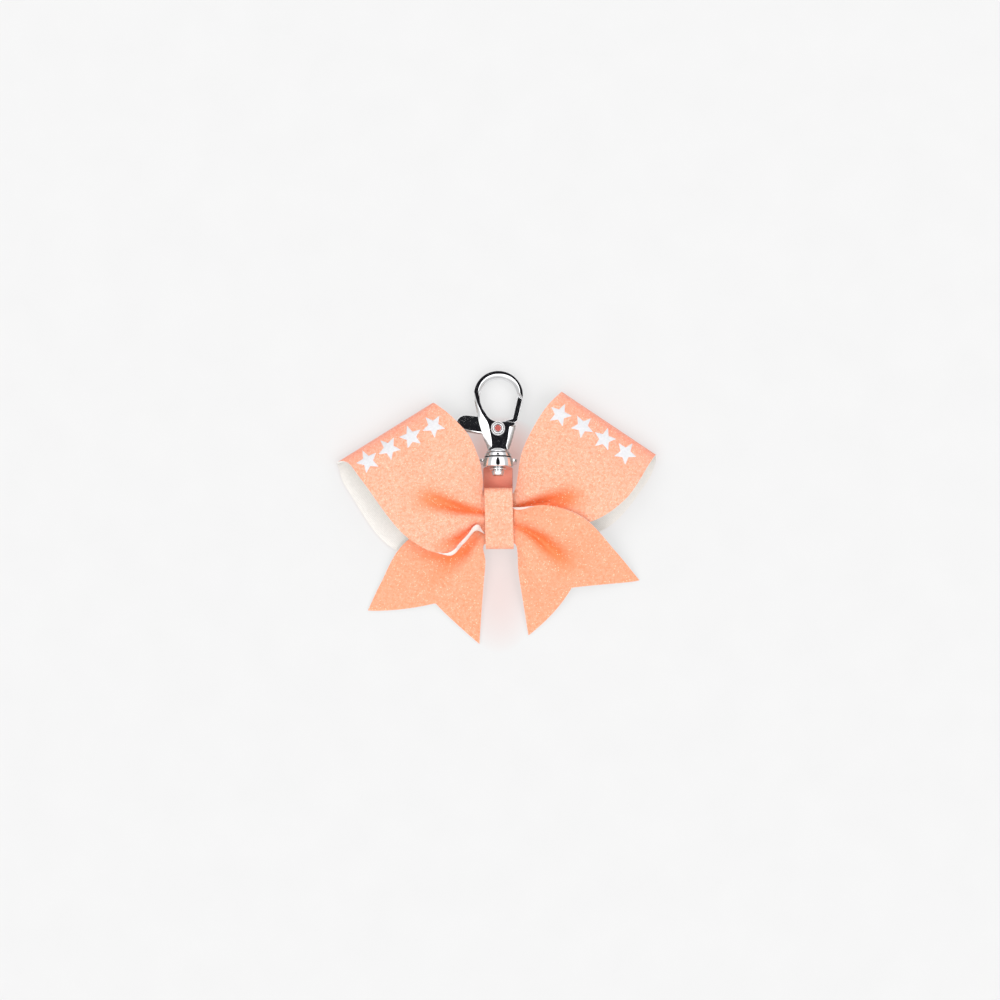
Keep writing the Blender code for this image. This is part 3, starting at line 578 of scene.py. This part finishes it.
def make_ribbon():
    """The whole bow: one strip, glitter on its face and white on its back."""
    u, t, t_line = ribbon_grid()
    middle = strip_points(u, t)
    run = np.linalg.norm(np.diff(middle[:, MIDDLE_LINE], axis=0), axis=1)
    length = np.concatenate([[0.0], np.cumsum(run)])
    ribbon = mesh_object("glitter_bow", ribbon_mesh(u, t, t_line, middle, length), CLOTH_SMOOTH)
    paint_ribbon_shade(ribbon, u, middle[..., 0], middle[..., 1])
    finish_piece(ribbon, "bow", "bow_ribbon", "glitter_ribbon", CORAL, WHITE_BACK)


# ---------------------------------------------------------------- band, tab and hidden pieces


def rounded_rectangle(low_a, high_a, low_b, high_b, radius, steps=10):
    """Points round a rectangle with round corners, as (a, b) pairs."""
    points = []
    corners = (
        (high_a - radius, high_b - radius, 0),
        (low_a + radius, high_b - radius, 90),
        (low_a + radius, low_b + radius, 180),
        (high_a - radius, low_b + radius, 270),
    )
    for centre_a, centre_b, start in corners:
        for k in range(steps + 1):
            angle = math.radians(start + 90 * k / steps)
            points.append((centre_a + radius * math.cos(angle), centre_b + radius * math.sin(angle)))
    return points


def make_band():
    """The wrapped band: glitter outside, white inside, and crowned a little over the pleats."""
    low, high = (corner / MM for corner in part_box("centre_band"))
    thickness, lean, width = 0.5, 0.55, 9.3
    corner_radius, crown_height, drop = 2.2, 0.35, 0.2
    across = 12
    bm = bmesh.new()
    uv_layer = bm.loops.layers.uv.new("strip")
    rings = []
    for inset in (0.0, thickness):
        for k in range(across + 1):
            x = (k / across - 0.5) * width
            ends = (low.y + inset, high.y - inset, low.z + inset, high.z - inset)
            ring = []
            for y, z in rounded_rectangle(*ends, corner_radius - inset):
                slide = -lean * (y - (low.y + high.y) / 2) / (high.y - low.y)
                crown = crown_height * (1 - (2 * x / width) ** 2) * (z > (low.z + high.z) / 2)
                ring.append(bm.verts.new((x + slide, y, z + crown - drop)))
            rings.append(ring)
    outer, inner = rings[: across + 1], rings[across + 1 :][::-1]
    chain = outer + inner
    for k in range(len(chain)):
        first, second = chain[k], chain[(k + 1) % len(chain)]
        edge = k in (across, len(chain) - 1)
        for i in range(len(first)):
            n = (i + 1) % len(first)
            face = bm.faces.new((first[i], first[n], second[n], second[i]))
            face.material_index = 1 if edge else (0 if k < across else 1)
            for loop in face.loops:
                loop[uv_layer].uv = (loop.vert.co.x, loop.vert.co.y + loop.vert.co.z)
    band = mesh_object("centre_band_wrap", bm, CLOTH_SMOOTH)
    finish_piece(band, "bow", "centre_band", "glitter_band", CORAL_BAND, WHITE_BACK)


def make_strap():
    """The plain tab: round the eye's bar, with both ends flat on each other under the band."""
    low, high = (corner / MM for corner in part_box("hanger_strap"))
    bar = Vector(JOINTS["eye_swing"]["pos_m"]) / MM
    thickness, gap, dip = 0.42, 0.35, 0.12
    reach = bar.z - low.z - thickness / 2
    layer = low.z + thickness / 2
    upper = layer + thickness + gap
    path = [(low.y + 1.5, upper), (2.0, upper), (7.0, upper), (10.5, upper + 0.35)]
    path += [(13.5, bar.z + reach - 0.55), (15.8, bar.z + reach - 0.12)]
    for k in range(13):
        angle = math.radians(90 - 15 * k)
        path.append((bar.y + reach * math.cos(angle), bar.z + reach * math.sin(angle)))
    path += [(13.0, layer), (8.0, layer), (2.0, layer), (low.y, layer)]
    across = 14
    half = (high.x - low.x) / 2
    bm = bmesh.new()
    uv_layer = bm.loops.layers.uv.new("strip")
    rows, length = [], [0.0]
    for i, (y, z) in enumerate(path):
        y0, z0 = path[max(i - 1, 0)]
        y1, z1 = path[min(i + 1, len(path) - 1)]
        run = math.hypot(y1 - y0, z1 - z0)
        out = Vector((0, -(z1 - z0) / run, (y1 - y0) / run))
        if i:
            length.append(length[-1] + math.dist(path[i], path[i - 1]))
        row = []
        for side, order in ((0.5, range(across + 1)), (-0.5, range(across, -1, -1))):
            for k in order:
                x = bar.x + half * (2 * k / across - 1)
                sag = dip * math.cos(math.pi * (2 * k / across - 1)) * (y > 9 and z > layer + 0.5)
                row.append((bm.verts.new(Vector((x, y, z + sag)) + out * side * thickness), k))
        rows.append(row)
    for i in range(len(rows) - 1):
        for k in range(len(rows[0])):
            n = (k + 1) % len(rows[0])
            corners = ((rows[i][k], i), (rows[i][n], i), (rows[i + 1][n], i + 1), (rows[i + 1][k], i + 1))
            face = bm.faces.new([vert for (vert, _), _ in corners])
            for loop, ((_, place), row) in zip(face.loops, corners):
                loop[uv_layer].uv = (2 * half * place / across, length[row])
    for row in (rows[0], rows[-1]):
        bm.faces.new([vert for vert, _ in row])
    strap = mesh_object("tab_ribbon", bm, CLOTH_SMOOTH)
    modifier = strap.modifiers.new("smooth", "SUBSURF")
    modifier.levels = modifier.render_levels = 1
    finish_piece(strap, "bow", "hanger_strap", "plain_ribbon", SALMON)


# ---------------------------------------------------------------- the stars


STAR_RADIUS, STAR_WAIST, STAR_STEPS = 4.0, 0.44, 5
TIP_CUT, WAIST_CUT = 0.12, 0.06
STAR_SINK, STAR_EDGE_DROP = 0.06, 0.05
# Each star's share of the way down the fold, how far in from it, and its turn in degrees.
STAR_ROW = ((0.10, 6.8, 10.0), (0.32, 5.9, -12.0), (0.54, 5.3, 16.0), (0.76, 5.2, -4.0))


def leaf_place(x, y, fold, away):
    """Stations and t of the front leaf's points at x and y, where away is its way from the fold."""
    u, t = np.full_like(x, fold + 2.0 * away), np.full_like(x, 0.5)
    h = 0.01
    for _ in range(25):
        here = strip_points(u, t)[..., :2]
        du = (strip_points(u + h, t)[..., :2] - here) / h
        dt = (strip_points(u, t + h)[..., :2] - here) / h
        miss = np.stack([x, y], -1) - here
        area = du[..., 0] * dt[..., 1] - du[..., 1] * dt[..., 0]
        u = u + np.clip((miss[..., 0] * dt[..., 1] - miss[..., 1] * dt[..., 0]) / area, -0.3, 0.3)
        t = t + np.clip((du[..., 0] * miss[..., 1] - du[..., 1] * miss[..., 0]) / area, -0.2, 0.2)
        u = fold + away * np.maximum(0.5, (u - fold) * away)
    return u, t


def star_outline():
    """A five-pointed star with slightly round tips, as (x, y) pairs with one tip along +X."""
    corners = []
    for k in range(10):
        r = STAR_RADIUS if k % 2 == 0 else STAR_RADIUS * STAR_WAIST
        angle = math.tau * k / 10
        corners.append(Vector((r * math.cos(angle), r * math.sin(angle))))
    points = []
    for k in range(10):
        before, here, after = corners[k - 1], corners[k], corners[(k + 1) % 10]
        cut = TIP_CUT if k % 2 == 0 else WAIST_CUT
        start, end = here.lerp(before, cut), here.lerp(after, cut)
        for s in range(4):
            f = s / 3
            points.append(start.lerp(here, f).lerp(here.lerp(end, f), f))
        for s in range(1, STAR_STEPS):
            points.append(end.lerp(after.lerp(here, cut), s / STAR_STEPS))
    return points


def make_star(name, x, y, turn, fold, away):
    """A star that follows the ribbon's surface, its back sunk a little into the glitter."""
    outline = star_outline()
    sides = len(outline)
    spun = np.array([Matrix.Rotation(turn, 2) @ point for point in outline])
    shares = (0.0, 0.25, 0.5, 0.75, 0.94, 1.0)
    plan = np.concatenate([spun * share for share in shares]) + (x, y)
    place = leaf_place(plan[:, 0], plan[:, 1], fold, away)
    points, normals = strip_points(*place), strip_normals(*place)
    bm = bmesh.new()
    layers = []
    for lift, edge in ((-STAR_SINK, 0.0), (STAR_THICKNESS, -STAR_EDGE_DROP)):
        rings = []
        for k in range(len(shares)):
            height = RIBBON_THICKNESS / 2 + lift + (edge if k == len(shares) - 1 else 0.0)
            rows = range(k * sides, (k + 1) * sides) if k else (0,)
            rings.append([bm.verts.new(points[i] + normals[i] * height) for i in rows])
        layers.append(rings)
    for rings in layers:
        for k in range(sides):
            n = (k + 1) % sides
            bm.faces.new((rings[0][0], rings[1][k], rings[1][n]))
            for inner, outer in zip(rings[1:], rings[2:]):
                bm.faces.new((inner[k], outer[k], outer[n], inner[n]))
    lower, upper = layers[0][-1], layers[1][-1]
    for k in range(sides):
        n = (k + 1) % sides
        bm.faces.new((lower[k], lower[n], upper[n], upper[k]))
    return mesh_object(name, bm, 60)


def make_stars():
    """Four vinyl stars in a row just inside each fold, from its upper end."""
    finish = vinyl()
    for side, fold, away in (("left", LEFT_FOLD, 1), ("right", RIGHT_FOLD, -1)):
        start, end = (np.array(edge[:2]) for edge in STATIONS[fold][:2])
        along = (end - start) / np.linalg.norm(end - start)
        inward = np.array([-along[1], along[0]]) * away
        up = math.atan2(-inward[1], -inward[0])
        for n, (share, inset, turn) in enumerate(STAR_ROW):
            x, y = start + (end - start) * share + inward * inset
            star = make_star(f"vinyl_star_{side}_{n + 1}", x, y, up + math.radians(turn), fold, away)
            finish_piece(star, "bow", f"star_{side}_{n + 1}", "white_vinyl", finish)


# ---------------------------------------------------------------- the clasp
# As in the CAD, every piece is made about the hook's long axis: local +Y runs from the barrel's
# middle towards the nose, and local +Z faces up.
SWIVEL_AXIS = Vector(JOINTS["hook_swivel"]["axis"])
SWIVEL_PLACE = Vector(JOINTS["hook_swivel"]["pos_m"])
SWIVEL_TURN = SWIVEL_AXIS.to_track_quat("Y", "Z").to_matrix().to_4x4()
CLASP_MATRIX = Matrix.Translation(SWIVEL_PLACE) @ SWIVEL_TURN
PIN_Y = 10.6
FRONT_Z, BACK_Z = 2.4, -2.0
HOOK_RADIUS, HOOK_CENTRE = 8.35, (0.1, 21.85)
HOLE_RADIUS, HOLE_CENTRE = 6.3, (0.2, 21.6)
SLOT_HALF, LEVER_HALF = 1.25, 1.0
AXIS_HEIGHT = 5.05
CORE_RADIUS = 1.05
PIN_HOLE, SHANK_BORE = 1.0, 1.85


def arc(cx, cy, radius, start, end, steps):
    """Points on an arc between two angles in degrees."""
    angles = [math.radians(start + (end - start) * k / steps) for k in range(steps + 1)]
    return [(cx + radius * math.cos(angle), cy + radius * math.sin(angle)) for angle in angles]


def bridge(bm, first, second):
    """Quads between two rings of vertices, where either may be a single point."""
    for k in range(max(len(first), len(second))):
        n = k + 1
        corners = [first[k % len(first)], first[n % len(first)]]
        corners += [second[n % len(second)], second[k % len(second)]]
        bm.faces.new(list(dict.fromkeys(corners)))


def turned(profile, axis="Y", sides=96):
    """A mesh turned about the local Y or Z axis from (radius, height) pairs."""
    bm = bmesh.new()
    rings = []
    for radius, height in profile:
        ring = []
        for k in range(sides if radius > 0 else 1):
            a, b = radius * math.cos(math.tau * k / sides), radius * math.sin(math.tau * k / sides)
            ring.append(bm.verts.new((a, height, b) if axis == "Y" else (a, b, height)))
        rings.append(ring)
    pairs = list(zip(rings, rings[1:]))
    if profile[0][0] > 0:
        pairs.append((rings[-1], rings[0]))
    for first, second in pairs:
        bridge(bm, first, second)
    return bm


def rod(radius, low, high, axis="Y", sides=32):
    """A plain rod, to cut a round hole with."""
    return turned([(0.0, low), (radius, low), (radius, high), (0.0, high)], axis, sides)


def prism(loops):
    """A closed mesh from loops of points, capped at both ends."""
    bm = bmesh.new()
    rings = [[bm.verts.new(point) for point in loop] for loop in loops]
    for first, second in zip(rings, rings[1:]):
        bridge(bm, first, second)
    bm.faces.new(rings[0])
    bm.faces.new(rings[-1])
    return bm


def plate(outline, low, high, edges):
    """A flat plate with rounded edges, each point of the outline with its own size of edge."""
    steps, deepest = 6, 0.75
    inwards = []
    for i, (x, y) in enumerate(outline):
        before, after = Vector(outline[i - 1]), Vector(outline[(i + 1) % len(outline)])
        here = Vector((x, y))
        one, two = (here - before).normalized(), (after - here).normalized()
        normal = Vector((-(one.y + two.y), one.x + two.x)).normalized()
        inwards.append(normal / max(0.5, normal.dot(Vector((-one.y, one.x)))))
    loops = []
    for side, face in ((-1, low), (1, high)):
        order = range(steps + 1) if side < 0 else range(steps, -1, -1)
        for k in order:
            turn = math.pi / 2 * k / steps
            loop = []
            for (x, y), n, edge in zip(outline, inwards, edges):
                inset = edge * (1 - math.sin(turn))
                drop = min(edge, deepest) * (1 - math.cos(turn))
                loop.append((x + n.x * inset, y + n.y * inset, face - side * drop))
            loops.append(loop)
    return prism(loops)


def with_cuts(name, bm, union=(), cuts=(), smooth_deg=30, offset=(0, 0, 0)):
    """An object on the clasp's axis, joined with some meshes and cut by others."""
    obj = mesh_object(name, bm, smooth_deg)
    helpers = []
    for operation, meshes in (("UNION", union), ("DIFFERENCE", cuts)):
        for k, mesh in enumerate(meshes):
            helper = mesh_object(f"{name}_{operation.lower()}_{k}", mesh)
            modifier = obj.modifiers.new(helper.name, "BOOLEAN")
            modifier.operation, modifier.object, modifier.solver = operation, helper, "EXACT"
            helpers.append(helper)
    mesh = bpy.data.meshes.new_from_object(obj.evaluated_get(bpy.context.evaluated_depsgraph_get()))
    obj.modifiers.clear()
    obj.data = mesh
    mesh.shade_smooth()
    mesh.set_sharp_from_angle(angle=math.radians(smooth_deg))
    for helper in helpers:
        bpy.data.objects.remove(helper)
    obj.matrix_world = CLASP_MATRIX @ Matrix.Translation(Vector(offset) * MM)
    obj.data.materials.clear()
    obj.data.materials.append(CHROME)
    return obj


def mark(obj, material, chosen):
    """Gives another finish to the faces whose middles, in mm, are chosen."""
    obj.data.materials.append(material)
    for face in obj.data.polygons:
        if chosen(face.center / MM):
            face.material_index = 1


def outer_rim(angle):
    """How wide the bevel is along the ring's outside, in mm. It is widest on the left."""
    return 0.12 + 0.12 * max(0.0, -math.cos(angle)) ** 8


def hole_rim(angle):
    """How wide the bevel is along the ring's hole, widest at the top and on the right."""
    return 0.1 + 1.15 * max(0.0, math.sin(angle)) ** 0.5 + 0.35 * max(0.0, math.cos(angle))


def ring_rows(start, end, steps, rim):
    """Rows of the ring's outside or hole between two angles in degrees."""
    outside = rim is outer_rim
    (cx, cy), radius = (HOOK_CENTRE, HOOK_RADIUS) if outside else (HOLE_CENTRE, HOLE_RADIUS)
    rows = []
    for k in range(steps + 1):
        angle = math.radians(start + (end - start) * k / steps)
        inner = radius + (-rim(angle) if outside else rim(angle))
        c, s = math.cos(angle), math.sin(angle)
        rows.append((cx + radius * c, cy + radius * s, cx + inner * c, cy + inner * s))
    return rows


def hook_rows():
    """The hook's edge with the front face's edge beside it, up the right side and back inside."""
    rows = [(3.7, 3.5, 3.1, 3.6), (4.05, 4.6, 2.8, 4.7), (4.8, 6.95, 3.35, 7.1), (5.5, 9.8, 3.7, 9.9)]
    rows += [(5.8, 11.2, 3.85, 11.2), (5.9, 11.8, 5.3, 11.75), (5.95, 12.2, 5.7, 12.1)]
    rows += [(5.6, 12.7, 5.4, 12.5), (3.6, 12.95, 3.5, 12.82), (0.6, 12.9, 0.6, 12.78)]
    for x, y in arc(0.35, 17.7, 4.8, 262, 205, 16):
        rows.append((x, y, 0.35 + (x - 0.35) * 1.025, 17.7 + (y - 17.7) * 1.025))
    rows += [(-5.1, 17.3, -5.2, 17.25), (-5.85, 19.4, -5.97, 19.37)]
    rows += ring_rows(184, 8.5, 64, hole_rim)
    rows += ring_rows(-4.8, 172, 72, outer_rim)
    rows += [(-8.0, 20.85, -7.35, 20.8), (-7.75, 19.5, -6.95, 19.4), (-7.45, 18.2, -6.55, 18.1)]
    rows += [(-6.95, 15.7, -5.4, 15.6), (-6.4, 13.05, -3.6, 12.9), (-6.05, 11.75, -3.0, 11.6)]
    rows += [(-4.85, 7.9, -2.35, 7.8), (-3.9, 5.3, -2.05, 5.2)]
    rows += [(-3.6, 4.4, -2.1, 4.5), (-3.4, 3.5, -3.0, 3.6)]
    return rows


def make_hook():
    """The cast hook, bevelled to its front face, with its collar, lever slot, bore and pin hole."""
    steps = 5
    loops = [[] for _ in range(steps + 4)]
    for x, y, face_x, face_y in hook_rows():
        rim = math.hypot(face_x - x, face_y - y)
        edge_z = FRONT_Z - min(0.85, 0.15 + 0.6 * rim)
        back = min(0.35, 0.4 * rim) / rim
        loops[0].append((x + (face_x - x) * back, y + (face_y - y) * back, BACK_Z))
        loops[1].append((x, y, BACK_Z + 0.5))
        for k in range(steps + 1):
            share = k / steps
            rise = 0.6 * share + 0.4 * math.sin(share * math.pi / 2)
            point = (x + (face_x - x) * share, y + (face_y - y) * share, edge_z + (FRONT_Z - edge_z) * rise)
            loops[2 + k].append(point)
        share = 1 + 0.08 / rim
        loops[-1].append((x + (face_x - x) * share, y + (face_y - y) * share, FRONT_Z))
    collar = [(0.0, 2.6), (3.85, 2.6), (4.02, 2.65), (4.1, 2.8), (4.05, 2.98), (3.9, 3.1), (3.6, 3.25)]
    collar += [(3.2, 3.45), (2.8, 3.75), (2.3, 3.95), (0.0, 4.0)]
    slot = [(-9.5, 15.4), (-9.5, 6.2), (-1.8, 6.1), (1.5, 7.6), (3.0, 9.6), (9.0, 11.0), (9.0, 15.4)]
    pin_hole = rod(PIN_HOLE, -4.0, 4.0, "Z")
    bmesh.ops.translate(pin_hole, verts=pin_hole.verts, vec=(0, PIN_Y, 0))
    cuts = [
        prism([[(x, y, z) for x, y in slot] for z in (-SLOT_HALF, SLOT_HALF)]),
        rod(SHANK_BORE, 1.0, 5.5),
        pin_hole,
    ]
    hook = with_cuts("cast_hook", prism(loops), [turned(collar)], cuts)
    finish_piece(hook, "hook", "hook_body", "clasp_chrome")


def make_lever():
    """The gate and the thumb tab, in one piece round the pin."""
    hub = arc(0, 0, 2.6, -120, -20, 16)
    gate = [(5.2, 1.9), (6.6, 2.6), (8.4, 10.1), (6.6, 11.35), (4.8, 3.6)]
    floor = [(1.0, 2.45), (-3.0, 2.6), (-6.2, 4.35)]
    tab = [(-8.4, 4.62), (-10.7, 4.85), (-11.6, 4.76), (-12.3, 4.5), (-13.1, 4.0), (-13.6, 3.4)]
    tab += [(-13.9, 2.8), (-14.0, 2.2), (-13.9, 1.3), (-13.5, 0.5), (-12.8, -0.2), (-11.7, -0.75)]
    tab += [(-8.5, -1.3), (-5.8, -1.7)]
    outline = hub + gate + floor + tab
    soft_edge = [0.4, 0.7, 1.0, 1.15, 1.15, 1.15]
    edges = [0.25] * (len(outline) - len(soft_edge)) + soft_edge
    blank = plate(outline, -LEVER_HALF, LEVER_HALF, edges)
    cuts = [rod(PIN_HOLE, -3.0, 3.0, "Z"), rod(2.0, -3.0, 0.3, "Z", 48)]
    lever = with_cuts("thumb_lever", blank, (), cuts, 30, (0, PIN_Y, 0))
    finish_piece(lever, "lever", "trigger_lever", "clasp_chrome")


def make_pin():
    """The eyelet pin, with a bead round its dished middle."""
    front, back = FRONT_Z + 0.2, BACK_Z - 0.2
    profile = [(0.0, back - 0.45), (1.15, back - 0.4), (1.4, back - 0.2), (1.45, back), (0.9, back)]
    head = [(0.9, 0.0), (2.25, 0.0), (2.33, 0.1), (2.33, 0.3), (2.28, 0.42), (2.2, 0.46), (2.12, 0.42)]
    head += [(2.06, 0.32), (2.03, 0.3), (1.98, 0.3), (1.78, 0.3), (1.74, 0.31), (1.66, 0.4), (1.55, 0.43)]
    head += [(1.44, 0.4), (1.34, 0.28), (1.3, 0.2), (1.26, 0.2), (1.12, 0.2), (1.08, 0.19)]
    head += [(CORE_RADIUS, 0.08), (0.0, 0.08)]
    profile += [(radius, front + height) for radius, height in head]
    pin = with_cuts("eyelet_pin", turned(profile, "Z"), smooth_deg=50, offset=(0, PIN_Y, 0))
    core = 0.9 * CORE_RADIUS
    mark(pin, eyelet_core(), lambda place: place.z > front and math.hypot(place.x, place.y) < core)
    finish_piece(pin, "hook", "pivot_pin", "clasp_chrome")


def make_rivet():
    """The rivet that holds the eye to the hook, and the washer over its head."""
    profile = [(0.0, -5.3), (0.9, -5.27), (1.5, -5.12), (1.85, -4.8), (1.95, -4.4), (1.95, -4.0)]
    profile += [(2.02, -3.9), (2.17, -3.8), (2.2, -3.7), (2.17, -3.6), (2.05, -3.52), (1.6, -3.5)]
    profile += [(1.6, 5.2), (0.0, 5.2)]
    rivet = with_cuts("swivel_pin", turned(profile), smooth_deg=50)
    finish_piece(rivet, "hook", "swivel_rivet", "clasp_chrome")
    rim = [(1.8, -3.2), (2.6, -3.2), (2.74, -3.15), (2.8, -3.05)]
    rim += [(2.8, -2.9), (2.74, -2.8), (2.6, -2.75), (1.8, -2.75)]
    washer = with_cuts("thin_washer", turned(rim), smooth_deg=50)
    finish_piece(washer, "hook", "eye_washer", "clasp_chrome")


def make_eye():
    """The eye: a flat loop of cast wire for the tab, under a bored barrel with a groove."""
    profile = [(0.0, -2.5), (4.6, -2.5), (4.95, -2.42), (5.13, -2.28), (5.2, -2.05), (5.2, 0.35)]
    profile += [(5.16, 0.52), (5.05, 0.64), (4.9, 0.7), (4.4, 0.75), (4.3, 0.8), (4.3, 1.15)]
    profile += [(4.4, 1.2), (4.53, 1.24), (4.6, 1.36), (4.6, 2.05), (4.56, 2.2), (4.4, 2.3), (0.0, 2.3)]
    bar_z, wire = -AXIS_HEIGHT, 0.6
    outer = rounded_rectangle(-6.45, 6.45, bar_z - wire, 1.2, 1.6)
    inner = rounded_rectangle(-5.25, 5.25, bar_z + wire, -2.35, 0.5)
    section = ((-1.0, 0.0, 0.25), (-0.58, 0.0, 0.0), (0.58, 0.0, 0.0), (1.0, 0.0, 0.25))
    section += ((1.0, 1.0, -0.25), (0.58, 1.0, 0.0), (-0.58, 1.0, 0.0), (-1.0, 1.0, -0.25))
    bm = bmesh.new()
    rings = []
    for depth, side, inset in section:
        ring = []
        for (ox, oz), (ix, iz) in zip(outer, inner):
            gap = Vector((ix - ox, iz - oz))
            move = gap * side + gap.normalized() * inset
            ring.append(bm.verts.new((ox + move.x, depth * wire, oz + move.y)))
        rings.append(ring)
    for first, second in zip(rings, rings[1:] + rings[:1]):
        bridge(bm, first, second)
    trim = prism([[(-7, y, -9), (7, y, -9), (7, y, -2.45), (-7, y, -2.45)] for y in (-6, 6)])
    barrel = with_cuts("barrel_blank", turned(profile), (), [trim])
    barrel_mesh = bmesh.new()
    barrel_mesh.from_mesh(barrel.data)
    bmesh.ops.scale(barrel_mesh, vec=(1 / MM,) * 3, verts=barrel_mesh.verts)
    bpy.data.objects.remove(barrel)
    eye = with_cuts("eye_casting", barrel_mesh, [bm], [rod(SHANK_BORE, -4.0, 4.0)])

    def in_groove(place):
        return 0.71 < place.y < 1.22 and 4.0 < math.hypot(place.x, place.z) < 4.8

    # The groove gets the near-black painted shade.
    mark(eye, groove_painted_shade(), in_groove)
    finish_piece(eye, "eye", "swivel_eye", "clasp_chrome")


# ---------------------------------------------------------------- studio


SKY, FLOOR_GLOW = 2.75, 0.49
FLOOR_RADIUS, FLOOR_DROP = 2.5, 0.0001
# Painted shade: soft patches of pink on the floor beside the bow, for its shadow and coral light, in
# metres: middle in Y, half width in X, half length in Y, strength.
FLOOR_PAINTED_SHADE = ((0.019, 0.018, 0.015, 1.0), (-0.026, 0.013, 0.02, 0.45))
# The dark patch in the sky that the chrome's flat faces mirror, in the sky's own coordinates:
# middle in Y, half width in X, half length in Y.
SKY_PATCH = (0.14, 0.25, 0.40)
CAMERA_PLACE, LENS, SENSOR = (0.000335, 0.0057, 1.0), 106.9, 36.0


def ellipse(n, level, split, centre, half_wide, half_long):
    """A value that falls off from level at an ellipse's middle, by 1 at its edge."""
    wide = n.math("POWER", n.math("DIVIDE", split.outputs["X"], half_wide), 2.0)
    long = n.math("POWER", n.math("DIVIDE", n.math("SUBTRACT", split.outputs["Y"], centre), half_long), 2.0)
    return n.math("SUBTRACT", level, n.math("ADD", wide, long))


def make_floor():
    """A pale paper disc that glows a little, so that it stays near white, with pink shade painted beside
    the bow.
    """
    mesh = bpy.data.meshes.new("studio_floor")
    bm = bmesh.new()
    bmesh.ops.create_circle(bm, cap_ends=True, segments=64, radius=FLOOR_RADIUS)
    bm.to_mesh(mesh)
    bm.free()
    floor = link("studio_floor", mesh)
    floor.location.z = -FLOOR_DROP
    n = Nodes("studio_paper")
    split = n.add("ShaderNodeSeparateXYZ", {"Vector": n.place()})
    # Painted shade: the pink patches darken the paper and its glow.
    painted_coral_shade = 0.0
    for *patch, strength in FLOOR_PAINTED_SHADE:
        blob = n.math("MAXIMUM", ellipse(n, 1.0, split, *patch), 0.0)
        painted_coral_shade = n.math("ADD", painted_coral_shade, n.math("MULTIPLY", blob, strength))
    paper = n.ramp(n.noise(60.0), [(0.3, 0.33), (0.7, 0.34)])
    cast = n.mix(painted_coral_shade, (1.0, 1.0, 1.0, 1.0), (1.0, 0.66, 0.60, 1.0))
    n.set(Base_Color=n.mix(1.0, paper, cast, "MULTIPLY"), Roughness=0.9, Emission_Color=cast)
    n.set(Specular_IOR_Level=0.0, Emission_Strength=FLOOR_GLOW)
    floor.data.materials.append(n.material)


def make_sky():
    """Soft light from a sky that is brighter overhead, with one dark patch in it."""
    world = bpy.data.worlds.new("studio")
    bpy.context.scene.world = world
    world.use_nodes = True
    background = world.node_tree.nodes["Background"]
    n = Nodes.over(world.node_tree)
    split = n.add("ShaderNodeSeparateXYZ", {"Vector": n.place("Generated")})
    sky = n.ramp(split.outputs["Z"], [(0.55, 0.24), (0.92, 1.0)])
    upper = n.math("GREATER_THAN", split.outputs["Z"], 0.0)
    inside = ellipse(n, 1.2, split, *SKY_PATCH)
    dark = n.math("MULTIPLY", upper, n.math("MULTIPLY", inside, 3.0))
    shade = n.ramp(dark, [(0.0, 1.0), (1.0, (0.004, 0.004, 0.005))])
    n.feed(background.inputs["Color"], n.mix(1.0, sky, shade, "MULTIPLY"))
    n.feed(background.inputs["Strength"], SKY)


def make_camera():
    """Straight above, with +Y up the frame."""
    camera = bpy.data.cameras.new("camera")
    camera.sensor_width = SENSOR
    camera.lens = LENS
    obj = link("camera", camera)
    obj.location = CAMERA_PLACE
    bpy.context.scene.camera = obj
    bpy.context.scene.view_settings.view_transform = "Standard"


def paint(node, material):
    """Gives a CAD node its finish."""
    obj = frame["nodes"][node]
    obj.data.materials.clear()
    obj.data.materials.append(material)


make_camera()
make_floor()
make_sky()
make_ribbon()
make_band()
make_strap()
make_stars()
make_hook()
make_lever()
make_pin()
make_rivet()
make_eye()
paint("gather_thread", thread_material())
paint("glue_pad", glue_material())
paint("lever_spring", steel_wire())
